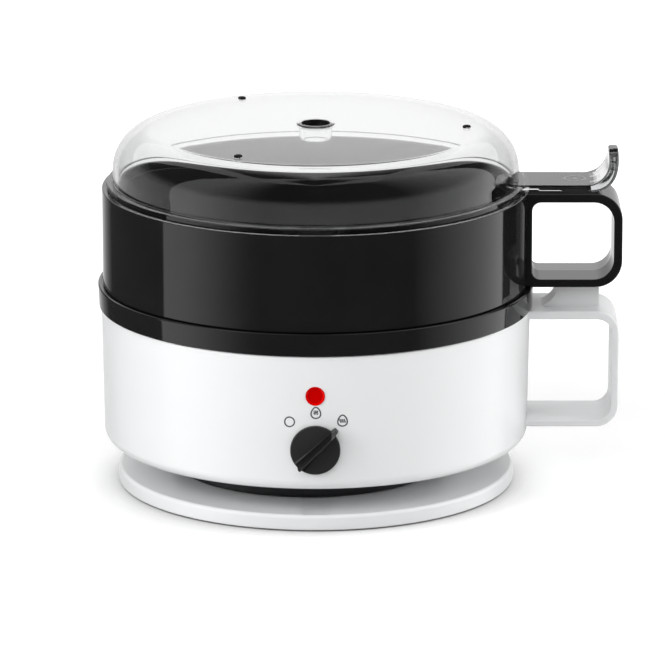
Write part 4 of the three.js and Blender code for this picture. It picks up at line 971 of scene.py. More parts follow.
    def build_collar(self) -> None:
        """Build the black collar with its seat, shelf and skirt."""
        high = self.collar_box.high.z
        low = high - self.collar_height
        seat, shelf = high - 0.3, high - 8.5
        skirt = self.top_radius - self.wall - 0.6
        line = rounded([
            Corner(self.shelf_mouth, shelf - 2.2), Corner(skirt - 2.1, shelf - 2.2), Corner(skirt - 2.1, low - 6),
            Corner(skirt, low - 6, 0.4),
            Corner(skirt, low), Corner(self.collar_foot, low, 0.3),
            Corner(self.collar_box.high.x + self.collar_grow, high, 0.7),
            Corner(self.recess, high, 0.2), Corner(self.recess, seat), Corner(self.seat_inner, seat, 0.3),
            Corner(self.seat_inner, shelf, 0.4), Corner(self.shelf_mouth, shelf, 0.4),
        ])
        place(Shell().lathe(line).piece("collar_ring", BLACK), Body.BASE, "collar")


# ---------------------------------------------------------------- bowl


@dataclass
class Bowl:
    """The steel bowl that the water goes in."""

    box: Span = field(default_factory=lambda: Span.of("heating_bowl"))
    mouth: float = 75.0
    floor: float = 65.0
    metal: float = 1.0
    depth: float = 11.0

    def build(self) -> None:
        """Build the bowl and its two studs."""
        top = self.box.high.z
        under = top - self.depth
        line = rounded([
            Corner(0, under), Corner(self.floor, under, 5), Corner(self.mouth, top - self.metal, 1.5),
            Corner(self.box.high.x, top - self.metal), Corner(self.box.high.x, top),
            Corner(self.mouth - self.metal, top, 2.5), Corner(self.floor - self.metal, under + self.metal, 4),
            Corner(0, under + self.metal),
        ], 8)
        shell = Shell().lathe(line)
        for x in (-22, 22):
            shell.lathe([(0, self.box.low.z), (2, self.box.low.z), (2, under), (0, under)], 24, (x, 0))
        place(shell.piece("heating_bowl_pan", STEEL), Body.BASE, "heating_bowl")


# ---------------------------------------------------------------- carrier


@dataclass
class Carrier:
    """The black egg carrier with its handle and pad, and the rack inside it."""

    box: Span = field(default_factory=lambda: Span.of("egg_carrier"))
    rack: Span = field(default_factory=lambda: Span.of("egg_rack"))
    foot_radius: float = 90.1
    top_radius: float = 90.2
    spigot: float = 86.2
    spigot_depth: float = 5.0
    height: float = 41.0
    pad: Flat = (103.0, 115.4)
    pad_half: float = 12.5
    rest_start: float = 94.0
    pad_height: float = 1.8
    handle_half: float = 15.0
    handle_bars: tuple[float, float, float] = (4.2, 4.0, 3.8)
    cup_ring: float = 51.5
    cup_foot: float = 22.4
    cup_mouth: float = 18.6
    cup_wall: float = 1.6
    plate: float = 2.0

    @property
    def bottom(self) -> float:
        """Height of the carrier's underside above its spigot."""
        return self.box.low.z + self.spigot_depth

    @property
    def top(self) -> float:
        """Height of the carrier's rim."""
        return self.bottom + self.height

    def build(self) -> None:
        """Build every piece of the carrier."""
        self.build_ring()
        self.build_handle()
        self.build_rack()

    def build_ring(self) -> None:
        """Build the carrier's wall with its spigot, ledge and lid seat."""
        low, top, foot = self.box.low.z, self.top, self.foot_radius
        seat = top - 0.5
        line = rounded([
            Corner(84.0, low), Corner(self.spigot, low, 0.5), Corner(self.spigot, self.bottom),
            Corner(foot, self.bottom, 0.6), Corner(self.top_radius, top, 0.3), Corner(88.4, top, 0.2),
            Corner(88.4, seat), Corner(86.2, seat, 0.3), Corner(86.2, seat - 1.6),
            Corner(87.6, seat - 3.0, 0.5),
            Corner(87.0, self.bottom + 2.4), Corner(84.0, self.bottom + 2.4),
        ])
        place(Shell().lathe(line).piece("carrier_wall", BLACK), Body.CARRIER, "egg_carrier")

    def build_handle(self) -> None:
        """Build the loop handle and the pad under the lid's tongue."""
        reach, bottom, top = self.box.high.x + 0.3, self.bottom + 0.2, self.top - 0.4
        root, bar = 86.2, 91.5

        def outer(grow: float) -> list[Flat]:
            """Return the outer line, grown."""
            return frame_loop((root, bottom), (reach, top), (1.0, 11.4, 11.4, 1.0), grow, 14)

        def inner(grow: float) -> list[Flat]:
            """Return the window's line, shrunk by a positive grow."""
            over, side, under = self.handle_bars
            return frame_loop(
                (bar, bottom + under), (reach - side, top - over), (3.2, 8.2, 8.2, 3.2), grow, 14
            )

        loop = strap(outer, inner, self.handle_half, 0.8, (0.0, 0.42), closed=True)
        handle = loop.piece("carrier_handle", BLACK)
        handle.data.materials.append(REST_BLACK.material())
        for face in handle.data.polygons:
            spot = face.center / MM
            if spot.z > top - 0.15 and spot.x > self.rest_start and abs(spot.y) < self.pad_half + 0.5:
                face.material_index = 1
        place(handle, Body.CARRIER)
        start, end = self.pad
        crest = top + self.pad_height
        outline = rounded([
            Corner(start, top - 1.0), Corner(end, top - 1.0), Corner(end, top), Corner(end - 1.9, crest, 0.8),
            Corner(start + 1.6, crest, 0.8), Corner(start, top),
        ], 5)
        pad = Shell().prism(outline, -self.pad_half, self.pad_half).piece("handle_pad", REST_BLACK)
        place(soften(pad, 0.2, 2, 50.0), Body.CARRIER)

    def build_rack(self) -> None:
        """Build the rack: a plate with seven raised cup rims and steam holes."""
        low, radius = self.rack.low.z, self.rack.high.x
        top, rim = low + self.plate, self.rack.high.z
        plate = Shell().lathe(rounded([
            Corner(0, low), Corner(radius, low, 0.4), Corner(radius, top, 0.5), Corner(0, top),
        ]), 144).piece("egg_rack_plate", BLACK)
        spots = [(0.0, 0.0)] + [self.around(self.cup_ring, 60 * i) for i in range(6)]
        wells = Shell()
        for spot in spots:
            wells.lathe(
                [(0, low - 1), (self.cup_foot - 0.8, low - 1), (self.cup_foot - 0.8, top + 1), (0, top + 1)],
                PART_SIDES, spot
            )
        for ring in (29.7, 74.0):
            for i in range(6):
                spot = self.around(ring, 30 + 60 * i)
                wells.lathe([(0, low - 2), (3.2, low - 2), (3.2, top + 2), (0, top + 2)], 32, spot)
        combine(plate, [wells.piece("wells", BLACK)])
        shell = Shell()
        foot, mouth, wall = self.cup_foot, self.cup_mouth, self.cup_wall
        for spot in spots:
            shell.lathe(rounded([
                Corner(foot - wall, low), Corner(foot, low), Corner(foot, top + 0.3, 1.0),
                Corner(mouth, rim, 0.7),
                Corner(mouth - wall, rim, 0.7), Corner(foot - wall, top, 1.0),
            ], 4), PART_SIDES, spot)
        place(shell.piece("egg_rack_cups", BLACK), Body.CARRIER)
        place(plate, Body.CARRIER, "egg_rack")

    @staticmethod
    def around(radius: float, degrees: float) -> Flat:
        """Return the point at a radius and an angle."""
        return radius * math.cos(math.radians(degrees)), radius * math.sin(math.radians(degrees))


# ---------------------------------------------------------------- lid


@dataclass
class Tongue:
    """The lid's tongue: a strap that lies on the carrier's handle and turns up to a rounded tip."""

    root: float = 84.3
    rest: float = 94.0
    top: float = 130.4
    half: float = 12.9
    gap_thickness: float = 2.6
    rest_thickness: float = 3.15
    bend_thickness: float = 4.6
    tip_thickness: float = 4.1
    bend: float = 9.9
    face: float = 123.35
    tip: float = 143.2
    corner: float = 9.0
    edge: float = 0.75
    notch_top: float = 129.15
    rest_end: float = 116.0
    tip_start: float = 136.5
    outer_edge: float = 1.6

    def stations(self) -> list[tuple[Vector, Vector, float, float]]:
        """Return the tongue's stations: a spot on its upper face, the way down, thickness and inset."""
        down = Vector((0.0, 0.0, -1.0))
        start = self.face - self.bend
        flat = [
            (self.root, self.gap_thickness), (88.0, self.gap_thickness),
            (self.rest - 0.5, self.gap_thickness),
            (self.rest, self.rest_thickness), (102.0, self.rest_thickness), (start, self.rest_thickness),
        ]
        spots = [(Vector((x, 0.0, self.top)), down, thick) for x, thick in flat]
        centre = Vector((start, 0.0, self.top + self.bend))
        for k in range(1, 17):
            a = math.radians(90 * k / 16)
            way = Vector((math.sin(a), 0.0, -math.cos(a)))
            swell = math.sin(2 * a) ** 2 * (
                self.bend_thickness - (self.rest_thickness + self.tip_thickness) / 2
            )
            thick = self.rest_thickness + (self.tip_thickness - self.rest_thickness) * k / 16 + swell
            spots.append((centre + way * self.bend, way, thick))
        out = Vector((1.0, 0.0, 0.0))
        rise = self.tip - self.top - self.bend
        spots += [(Vector((self.face, 0.0, self.top + self.bend + rise * k / 8)), out,
            self.tip_thickness) for k in range(1, 9)]
        total, run = 0.0, [0.0]
        for (a, *_), (b, *_) in zip(spots, spots[1:]):
            total += (b - a).length
            run.append(total)
        made = []
        for (spot, way, thick), s in zip(spots, run):
            into = max(0.0, s - (total - self.corner)) / self.corner
            made.append((spot, way, thick, self.corner * (1 - math.sqrt(max(0.0, 1 - min(1.0, into) ** 2)))))
        return made

    def section(self, spot: Vector, way: Vector, thick: float, half: float, edge: float) -> list[Point]:
        """Return one rounded cross-section.

        Args:
            spot: The middle of its upper side.
            way: The way to its lower side.
            thick: Its thickness.
            half: Half of its width.
            edge: Radius of its corners.

        Returns:
            Its points.
        """
        lower = min(self.outer_edge * edge / self.edge, thick - edge - 0.05)
        flat = rounded([
            Corner(-half, 0.0, edge), Corner(half, 0.0, edge), Corner(half, thick, lower),
            Corner(-half, thick, lower),
        ], 6)
        return [tuple(spot + way * d + Vector((0.0, y, 0.0))) for y, d in flat]

    def build(self) -> bpy.types.Object:
        """Return the tongue with the notch for the handle's pad."""
        rows = [
            self.section(spot, way, thick, self.half - inset, self.edge)
            for spot, way, thick, inset in self.stations()
        ]
        spot, way, thick, inset = self.stations()[-1]
        up = Vector((0.0, 0.0, 1.0))
        for k in range(1, 6):
            a = math.radians(15 * k)
            back = 1.1 * (1 - math.cos(a))
            edge = max(0.1, self.edge - back)
            rows.append(self.section(
                spot + up * 1.1 * math.sin(a) + way * back, way, thick - 2 * back, self.half - inset - back,
                edge,
            ))
        strip = Shell().grid(rows, cap=True).piece("tongue", CLEAR)
        crest = self.notch_top
        notch = Shell().prism(
            [(102.7, 126.0), (115.8, 126.0), (115.8, 127.1), (113.8, crest), (104.3, crest), (102.7, 127.1)],
            -14.0, 14.0,
        )
        return combine(strip, [notch.piece("notch", CLEAR)])


@dataclass
class Lid:
    """The clear lid with its tongue, centre vent and three small vents."""

    box: Span = field(default_factory=lambda: Span.of("lid"))
    tongue: Tongue = field(default_factory=Tongue)
    dome: float = 85.7
    wall: float = 2.0
    shoulder: float = 17.5
    crown: float = 1.5
    rim_proud: float = 0.4
    flange: float = 88.0
    flange_thickness: float = 2.7
    spigot: float = 85.6
    spigot_depth: float = 3.5
    rim: float = 8.0
    tube: float = 6.9
    tube_depth: float = 8.4
    sink: float = 6.0
    sink_depth: float = 3.0
    bore: float = 4.8
    vent_ring: float = 63.6
    vent_radius: float = 1.8
    vent_angles: tuple[int, ...] = (0, 120, 240)
    mark_spot: float = 109.2
    mark_rings: tuple[Flat, ...] = ((4.0, 4.8), (0.0, 1.2))
    mark_sink: float = 0.05
    mark_rise: float = 0.06

    @property
    def top(self) -> float:
        """Height of the dome's top."""
        return self.box.high.z - self.rim_proud

    @property
    def seat(self) -> float:
        """Height of the flange's underside."""
        return self.box.low.z + self.spigot_depth

    def dome_line(self, inset: float, start: float) -> list[Flat]:
        """Return the dome's line from near the axis outwards and down.

        Args:
            inset: Distance inside the outer surface.
            start: Radius of the first point.

        Returns:
            The points.
        """
        flat = self.dome - self.shoulder
        spring = self.top - self.crown - self.shoulder
        crown = [
            (r, self.top - inset - self.crown * (r / flat) ** 2)
            for r in (start + (flat - start) * i / 16 for i in range(16))
        ]
        lean = math.degrees(math.atan(2 * self.crown / flat))
        bend = self.shoulder - inset
        turns = [math.radians((90 - lean) * (1 - i / 28)) for i in range(29)]
        return crown + [(flat + bend * math.cos(a), spring + bend * math.sin(a)) for a in turns]

    def build(self) -> None:
        """Build the lid's pieces."""
        flange_top = self.seat + self.flange_thickness
        vent_top = self.box.high.z
        inner = self.dome - self.wall
        low = self.box.low.z
        outside = self.dome_line(0.0, self.rim)
        inside = self.dome_line(self.wall, self.tube + 0.3)
        skirt = rounded([
            Corner(inner, inside[-1][1]), Corner(inner, low, 0.3), Corner(self.spigot, low, 0.3),
            Corner(self.spigot, self.seat),
            Corner(self.flange, self.seat, 0.2), Corner(self.flange, flange_top, 0.25),
            Corner(self.dome, flange_top, 0.5), Corner(self.dome, outside[-1][1]),
        ], 4, closed=False)
        vent = rounded([
            Corner(self.rim, outside[0][1]), Corner(self.rim, vent_top, 0.3),
            Corner(self.sink, vent_top, 0.2),
            Corner(self.sink, vent_top - self.sink_depth), Corner(self.bore, vent_top - self.sink_depth, 0.2),
            Corner(self.bore, vent_top - self.tube_depth, 0.3),
            Corner(self.tube - 0.2, vent_top - self.tube_depth, 0.9),
            Corner(self.tube + 0.3, inside[0][1]),
        ], 6, closed=False)
        line = [*vent, *inside[1:-1], *skirt, *reversed(outside[1:-1])]
        lid = Shell().lathe(line).piece("lid_dome", CLEAR, 28.0)
        cutters = Shell()
        for angle in self.vent_angles:
            cutters.lathe(
                [
                    (0, self.top - 8), (self.vent_radius, self.top - 8), (self.vent_radius, self.top + 2),
                    (0, self.top + 2)
                ],
                32, Carrier.around(self.vent_ring, angle),
            )
        combine(lid, [cutters.piece("vent_cutters", CLEAR)])
        combine(lid, [self.tongue.build()], "UNION")
        self.rest_underside(lid)
        self.paint_edge_shade(lid)
        place(lid, Body.LID, "lid")
        self.build_vent_shades()
        self.build_ring_mark()

    def rest_underside(self, lid: bpy.types.Object) -> None:
        """Give the tongue's resting underside the finish without a second reflection."""
        lid.data.materials.append(CLEAR_REST.material())
        low, crest = self.box.low.z + 0.4, self.tongue.notch_top + 0.3
        for face in lid.data.polygons:
            x, y, z = face.center / MM
            radius = math.hypot(x, y)
            under_tongue = z < crest and self.flange < x < self.tongue.rest_end and face.normal.z < -0.4
            under_flange = low < z < self.seat + 0.1 and radius < self.flange + 0.1 and (
                face.normal.z < -0.9 or face.normal.x * x + face.normal.y * y > 0.0)
            if under_tongue or under_flange:
                face.material_index = 1

    def paint_edge_shade(self, lid: bpy.types.Object) -> None:
        """Give the tongue's long side painted shade: darker clear plastic, darkest along its rounded rims, for
        the dark that the tongue shows there by refraction and from the black handle under it.
        """
        for finish in (CLEAR_RIM_SHADE, CLEAR_SIDE_SHADE, CLEAR_TIP_SHADE):
            lid.data.materials.append(finish.material())
        tongue = self.tongue
        start, centre = tongue.face - tongue.bend, tongue.top + tongue.bend
        for face in lid.data.polygons:
            spot = face.center / MM
            if spot.x < self.flange + 0.4 or face.normal.y > -0.15 or face.material_index:
                continue
            way = Vector((0.0, 0.0, -1.0))
            if spot.x > start:
                way = Vector((1.0, 0.0, 0.0)) if spot.z > centre else Vector(
                    (spot.x - start, 0.0, spot.z - centre)
                ).normalized()
            out = face.normal.dot(way)
            if out > 0.25 and spot.x < start:
                face.material_index = 3 if spot.x > tongue.rest else 0
            elif abs(out) > 0.25:
                face.material_index = 2
            elif spot.x > start:
                face.material_index = 4 if spot.z > tongue.tip_start else 3

    def build_vent_shades(self) -> None:
        """Build black sheets in the four vents: painted shade for the dark that shows inside their holes."""
        top = self.box.high.z
        floor = top - self.sink_depth + 0.05
        # Painted shade: a black sheet inside the centre vent's sink, seen only from inside the hole.
        shade_sheet = Shell().lathe([
            (self.sink - 0.05, top - 0.25), (self.sink - 0.05, floor), (self.bore - 0.4, floor),
            (self.bore - 0.4, floor - 0.6),
        ], closed=False).piece("centre_vent_painted_shade", VENT_SHADE)
        inner = min(shade_sheet.data.polygons, key=lambda face: -face.center.z)
        if inner.normal.dot(inner.center - Vector((0.0, 0.0, inner.center.z))) > 0.0:
            shade_sheet.data.flip_normals()
        place(shade_sheet, Body.LID)
        # Painted shade: black sleeves in the three small vents, where the clear hole walls show dark.
        small = Shell()
        surface = self.top - self.crown * (self.vent_ring / (self.dome - self.shoulder)) ** 2
        for angle in self.vent_angles:
            small.lathe(rounded([
                Corner(0.7, surface - 1.2), Corner(1.74, surface - 1.2), Corner(1.74, surface + 0.15),
                Corner(1.45, surface + 0.6, 0.15),
                Corner(0.7, surface + 0.6, 0.15),
            ], 3), 48, Carrier.around(self.vent_ring, angle))
        place(small.piece("steam_vent_painted_shade", SHADE_BLACK), Body.LID)

    def build_ring_mark(self) -> None:
        """Build the faint moulded ring on the tongue."""
        top = self.tongue.top
        mark = Shell()
        under, over = top - self.mark_sink, top + self.mark_rise
        for low, high in self.mark_rings:
            mark.lathe([(low, under), (high, under), (high, over), (low, over)], 64, (self.mark_spot, 0.0))
        place(mark.piece("tongue_ring", FROST), Body.LID)


class Mark(Enum):
    """The marks printed round the knob."""

    RING = "off"
    EGG_CROSSED = "egg without steam"
    EGG_STEAM = "egg with steam"


@dataclass
class Controls:
    """The knob, the lamp's lens and the printed marks."""

    knob: Span = field(default_factory=lambda: Span.of("knob"))
    lens: Span = field(default_factory=lambda: Span.of("lamp_lens"))
    spindle: Span = field(default_factory=lambda: Span.of("switch_spindle"))
    radius: float = 10.35
    hub_radius: float = 5.2
    hub_length: float = 5.0
    back_gap: float = 0.14
    thickness: float = 1.8
    grip_height: float = 9.5
    pointer: float = 45.0
    mark_line: float = 0.56
    marks: tuple[tuple[float, float, Mark], ...] = (
        (-10.6, 11.75, Mark.RING), (0.25, 15.75, Mark.EGG_CROSSED), (11.25, 12.25, Mark.EGG_STEAM),
    )

    def build(self) -> None:
        """Build the controls."""
        self.build_knob()
        self.build_lens()
        self.build_marks()

    @property
    def axis_height(self) -> float:
        """Height of the knob's axis."""
        return self.spindle.centre.z

    def build_knob(self) -> None:
        """Build the knob: a disc with a tall thin grip that ends in a pointer."""
        back = self.knob.low.y + self.grip_height
        shell = Shell().lathe(rounded([
            Corner(0.0, -self.hub_length), Corner(self.hub_radius, -self.hub_length, 0.3),
            Corner(self.hub_radius, self.back_gap), Corner(self.radius, self.back_gap, 0.3),
            Corner(self.radius, self.thickness, 0.5), Corner(0.0, self.thickness),
        ]), 96)
        self.add_grip(shell)
        turn = Matrix.Rotation(math.radians(90), 4, "X")
        spin = Matrix.Rotation(math.radians(self.pointer), 4, "Y")
        shift = Matrix.Translation((0.0, back, self.axis_height))
        place_knob = shift @ spin @ turn
        shell.turn_about(place_knob)
        knob = shell.piece("knob_grip", KNOB_BLACK)
        knob.data.materials.append(SHADE_BLACK.material())
        front = back - self.thickness - 0.15
        across = Vector((math.cos(math.radians(self.pointer)), 0.0, -math.sin(math.radians(self.pointer))))
        along = Vector((math.sin(math.radians(self.pointer)), 0.0, math.cos(math.radians(self.pointer))))
        hub = Vector((0.0, 0.0, self.axis_height))
        # Painted shade: faces leaning towards +X across the grip, and its steep faces leaning the other way, get
        # the darker black that stands in for the grip's shadow on the disc and the shade on its flanks.
        for face in knob.data.polygons:
            spot = face.center / MM
            lean = face.normal.dot(across)
            if (spot - hub).dot(along) < 9.9 and (
                spot.y < front and lean > 0.15 or spot.y < front - 0.3 and lean < -0.6
            ):
                face.material_index = 1
        place(knob, Body.KNOB, "knob")

    def add_grip(self, shell: Shell) -> None:
        """Add the grip along +Y of the knob's own plane, with a flared foot that is widest at its tail; its slope
        on the +X side carries painted shadow.

        Args:
            shell: The knob's shell.
        """
        stations = [
            (-9.65, 2.8, 2.1, 0.95, 0.44, 6.9), (-9.45, 3.2, 2.5, 1.05, 0.56, 7.6),
            (-5.0, 2.6, 2.0, 1.0, 0.54, 7.7),
            (0.0, 2.05, 1.6, 0.92, 0.5, 7.7), (5.0, 1.5, 1.25, 0.84, 0.45, 7.7),
            (9.3, 1.2, 1.1, 0.78, 0.42, 7.6),
            (10.1, 1.3, 1.3, 1.0, 0.6, 6.4), (10.9, 1.3, 1.3, 1.1, 0.8, 4.4),
            (12.2, 1.15, 1.15, 0.95, 0.6, 3.2),
            (12.7, 0.8, 0.8, 0.65, 0.4, 2.0),
        ]
        face = self.thickness
        rows = []
        for y, foot, back_foot, waist, top, height in stations:
            low = min(0.9, height * 0.3)
            left, right = [
                [
                    (way * wide, face), (way * (wide * 0.45 + waist * 0.55), face + low * 0.55),
                    (way * waist, face + low * 1.6),
                    (way * top, face + height - 0.25), (way * top * 0.6, face + height),
                ]
                for way, wide in ((-1, back_foot), (1, foot))
            ]
            rows.append([
                (-back_foot, y, face - 0.8), (foot, y, face - 0.8),
                *[(x, y, z) for x, z in right], *[(x, y, z) for x, z in reversed(left)],
            ])
        shell.grid(rows, cap=True)

    def build_lens(self) -> None:
        """Build the lens with a dished face, whose sloped rim gets a brighter red as painted light."""
        radius = 4.0
        z = self.lens.centre.z
        face = self.lens.low.y - 0.3
        shell = Shell().lathe(rounded([
            Corner(0, -3.0), Corner(radius, -3.0), Corner(radius, 0.3, 0.12),
            Corner(radius - 0.22, 0.3, 0.08),
            Corner(radius - 1.0, -0.35, 0.1), Corner(0, -0.35),
        ]), 96)
        turn = Matrix.Rotation(math.radians(90), 4, "X")
        shell.turn_about(Matrix.Translation((0.0, face + 0.3, z)) @ turn)
        cap = shell.piece("lamp_lens_cap", RED)
        cap.data.materials.append(RED_RIM_LIT.material())
        # Painted light: the dish's sloped rim faces get the brighter red.
        for face in cap.data.polygons:
            spot = face.center / MM
            if radius - 1.0 < math.hypot(spot.x, spot.z - z) < radius - 0.2 and face.normal.y < -0.2:
                face.material_index = 1
        place(cap, Body.BASE, "lamp_lens")

    def wall_radius(self, z: float) -> float:
        """Return the housing's outer radius at a height."""
        low = Span.of("housing").low.z
        return 89.8 + (z - low) / 57.7

    def on_wall(self, x: float, z: float, proud: float) -> Point:
        """Return the point on the housing's front at a distance along the wall.

        Args:
            x: Distance along the wall to the right.
            z: Height.
            proud: Distance outside the wall.

        Returns:
            The point.
        """
        radius = self.wall_radius(z)
        angle = x / radius
        return (radius + proud) * math.sin(angle), -(radius + proud) * math.cos(angle), z

    def stroke(self, shell: Shell, line: Sequence[Flat], width: float, closed: bool) -> None:
        """Add a printed stroke that lies on the housing's wall.

        Args:
            shell: The shell to add to.
            line: The stroke's middle line, along the wall and in height.
            width: The stroke's width.
            closed: Whether the line joins up.
        """
        count = len(line)
        rows: list[list[Point]] = []
        for i, here in enumerate(line):
            before = line[i - 1] if closed or i > 0 else here
            after = line[(i + 1) % count] if closed or i < count - 1 else here
            way = Vector((after[0] - before[0], after[1] - before[1])).normalized()
            side = Vector((way.y, -way.x)) * width / 2
            corners = [(here[0] + side.x, here[1] + side.y), (here[0] - side.x, here[1] - side.y)]
            (ax, az), (bx, bz) = corners
            rows.append([
                self.on_wall(ax, az, -0.05), self.on_wall(ax, az, 0.045), self.on_wall(bx, bz, 0.045),
                self.on_wall(bx, bz, -0.05),
            ])
        shell.grid(rows, wrap_rows=closed, cap=not closed)

    def build_marks(self) -> None:
        """Print the ring, the egg with crossed steam and the egg with steam round the knob."""
        shell = Shell()
        for dx, dz, mark in self.marks:
            x, z = dx, self.axis_height + dz
            if mark is Mark.RING:
                line = [(x + 2.02 * math.cos(t),
                    z + 2.02 * math.sin(t)) for t in (TURN * k / 48 for k in range(48))]
                self.stroke(shell, line, self.mark_line, True)
                continue
            egg = []
            for t in (TURN * k / 56 for k in range(56)):
                high = math.sin(t)
                egg.append((x + 1.93 * math.cos(t) * (1 - 0.24 * high), z + 2.35 * high))
            self.stroke(shell, egg, self.mark_line, True)
            crossed = mark is Mark.EGG_CROSSED
            pitch, low, high, sway, thick = (
                0.62, -0.75, 1.05, 0.16, 0.4
            ) if crossed else (0.85, -0.9, 0.65, 0.26, 0.52)
            for k in (-1, 0, 1):
                wave = [
                    (
                        x + pitch * k + sway * math.sin(TURN * s / 12), z + low + (high - low) * s / 12
                    ) for s in range(13)
                ]
                self.stroke(shell, wave, thick, False)
            if crossed:
                self.stroke(shell, [(x - 0.95, z - 0.35), (x, z + 0.15), (x + 0.95, z + 0.65)], 0.4, False)
        place(shell.piece("printed_marks", PRINT), Body.BASE)


# ---------------------------------------------------------------- studio


@dataclass
class Studio:
    """The floor, the lamps, the surroundings and the camera."""

    target: Point = (7.09, 0.0, 63.19)
    distance: float = 2579.0
    elevation: float = 14.79
    lens: float = 328.7
    ambient: float = 0.3
    floor_lift: Flat = (0.36, 0.8)
    # Reach of the painted contact shadow on the floor, in metres.
    painted_contact_shadow: float = 0.022
    softbox_height: float = 1500.0
    softbox_strength: float = 1.1

    def build(self) -> None:
        """Build the studio."""
        self.build_floor()
        self.build_world()
        self.build_softbox()
        self.build_lamps()
        self.build_camera()

    def sheet(self, name: str, shell: Shell, material: bpy.types.Material) -> bpy.types.Object:
        """Add a studio sheet.

        Args:
            name: Its name.
            shell: Its mesh.
            material: Its material.

        Returns:
            The object.
        """
        shell.mesh.transform(Matrix.Scale(MM, 4))
        data = bpy.data.meshes.new(name)
        shell.mesh.to_mesh(data)
        shell.mesh.free()
        obj = bpy.data.objects.new(name, data)
        bpy.context.collection.objects.link(obj)
        data.materials.append(material)
        return obj

    @staticmethod
    def blank(name: str) -> tuple[bpy.types.Material, Tree]:
        """Return a new material and its empty tree."""
        material = bpy.data.materials.new(name)
        material.use_nodes = True
        material.node_tree.nodes.clear()
        return material, Tree(material.node_tree)

    def build_floor(self) -> None:
        """Build a pale floor that keeps the object's shadow, darkened near the object by painted contact shadow,
        and looks white to the camera.
        """
        material, tree = self.blank("studio_floor")
        path = tree.add("LightPath")
        radius = tree.add("VectorMath", operation="LENGTH")
        tree.feed(radius.inputs[0], tree.add("TexCoord").outputs["Object"])
        # Painted shade: an occlusion node darkens the floor's colour and its glow close to the object.
        painted_contact_shadow = tree.add("AmbientOcclusion", samples=12, Distance=self.painted_contact_shadow).outputs["AO"]
        painted_contact_shadow = tree.math("POWER", painted_contact_shadow, 0.6)
        lift = tree.math(
            "MULTIPLY", tree.spread(radius.outputs["Value"], 0.12, 0.7, *self.floor_lift, smooth=True),
            painted_contact_shadow
        )
        pale = tree.add("BsdfDiffuse", Color=tree.mix(painted_contact_shadow, (0.0, 0.0, 0.0, 1.0), (0.8, 0.8, 0.8, 1.0)))
        glow = tree.add(
            "Emission", Color=(1.0, 1.0, 1.0, 1.0),
            Strength=tree.math("MULTIPLY", path.outputs["Is Camera Ray"], lift)
        )
        both = tree.add("AddShader")
        tree.feed(both.inputs[0], pale.outputs[0])
        tree.feed(both.inputs[1], glow.outputs[0])
        clear = tree.add("BsdfTransparent", Color=(1.0, 1.0, 1.0, 1.0))
        through = tree.math("MAXIMUM", path.outputs["Is Glossy Ray"], path.outputs["Is Transmission Ray"])
        mix = tree.add("MixShader")
        tree.feed(mix.inputs[0], through)
        tree.feed(mix.inputs[1], both.outputs[0])
        tree.feed(mix.inputs[2], clear.outputs[0])
        tree.add("OutputMaterial", Surface=mix.outputs[0])
        shell = Shell().grid(
            [[(-9000, -9000, -0.1), (9000, -9000, -0.1)], [(-9000, 9000, -0.1), (9000, 9000, -0.1)]],
            wrap=False,
        )
        self.sheet("studio_floor", shell, material)

    def build_softbox(self) -> None:
        """Build a horseshoe of light overhead, which only reflections see."""
        material, tree = self.blank("softbox")
        glow = tree.add("Emission", Color=(1.0, 1.0, 1.0, 1.0), Strength=self.softbox_strength)
        tree.add("OutputMaterial", Surface=glow.outputs[0])
        pairs = [
            ((0.0, -0.42), (0.0, -0.40)), ((0.37, -0.22), (0.32, 0.0)), ((0.58, 0.34), (0.39, 0.585)),
            ((1.15, 1.0), (0.40, 1.1)),
            ((2.77, 2.5), (0.29, 2.2)),
        ]
        h = self.softbox_height
        shell = Shell()
        for side in (-1, 1):
            rows = [[(side * x * h, y * h, h) for x, y in pair] for pair in pairs]
            shell.grid(rows, wrap=False)
        box = self.sheet("softbox", shell, material)
        box.visible_camera = box.visible_diffuse = box.visible_shadow = box.visible_transmission = False

    def build_world(self) -> None:
        """Build the surroundings: white to the camera, soft grey light, and tall strips in reflections."""
        world = bpy.data.worlds.new("studio")
        bpy.context.scene.world = world
        world.use_nodes = True
        world.node_tree.nodes.clear()
        tree = Tree(world.node_tree)
        way = tree.add("SeparateXYZ", Vector=tree.add("TexCoord").outputs["Generated"])
        x, y, z = way.outputs
        azimuth = tree.math(
            "MULTIPLY", tree.math("ARCTAN2", x, tree.math("MULTIPLY", y, -1.0)), 180 / math.pi
        )
        height = tree.math("MULTIPLY", tree.math("ARCSINE", z), 180 / math.pi)
        around = tree.math("ABSOLUTE", azimuth)
        left = tree.spread(azimuth, -80.0, -28.0, 1.2, 0.05, smooth=True)
        left = tree.math("MULTIPLY", left, tree.spread(azimuth, -90.2, -89.2, 0.05, 1.0))
        right = tree.spread(azimuth, 52.0, 116.0, 0.0, 1.55)
        right = tree.math("MULTIPLY", right, tree.spread(azimuth, 120.2, 121.7, 1.0, 0.04))
        behind = tree.spread(around, 142.0, 176.0, 0.0, 1.0)
        strips = tree.math("MAXIMUM", tree.math("MAXIMUM", left, right), 0.03)
        studio = tree.math("MAXIMUM", strips, behind)
        path = tree.add("LightPath")
        seen = tree.math("MAXIMUM", tree.spread(height, 8.0, 28.0, 1.0, 0.05, smooth=True), behind)
        mirrored = tree.add("Mix", data_type="FLOAT")
        tree.feed(mirrored.inputs[0], path.outputs["Is Glossy Ray"])
        tree.feed(mirrored.inputs[2], self.ambient)
        tree.feed(mirrored.inputs[3], studio)
        level = tree.add("Mix", data_type="FLOAT")
        tree.feed(level.inputs[0], path.outputs["Is Transmission Ray"])
        tree.feed(level.inputs[2], mirrored.outputs[0])
        tree.feed(level.inputs[3], seen)
        strength = tree.add("Mix", data_type="FLOAT")
        tree.feed(strength.inputs[0], path.outputs["Is Camera Ray"])
        tree.feed(strength.inputs[2], level.outputs[0])
        tree.feed(strength.inputs[3], 1.0)
        background = tree.add("Background", Color=(1.0, 1.0, 1.0, 1.0), Strength=strength.outputs[0])
        tree.add("OutputWorld", Surface=background.outputs[0])

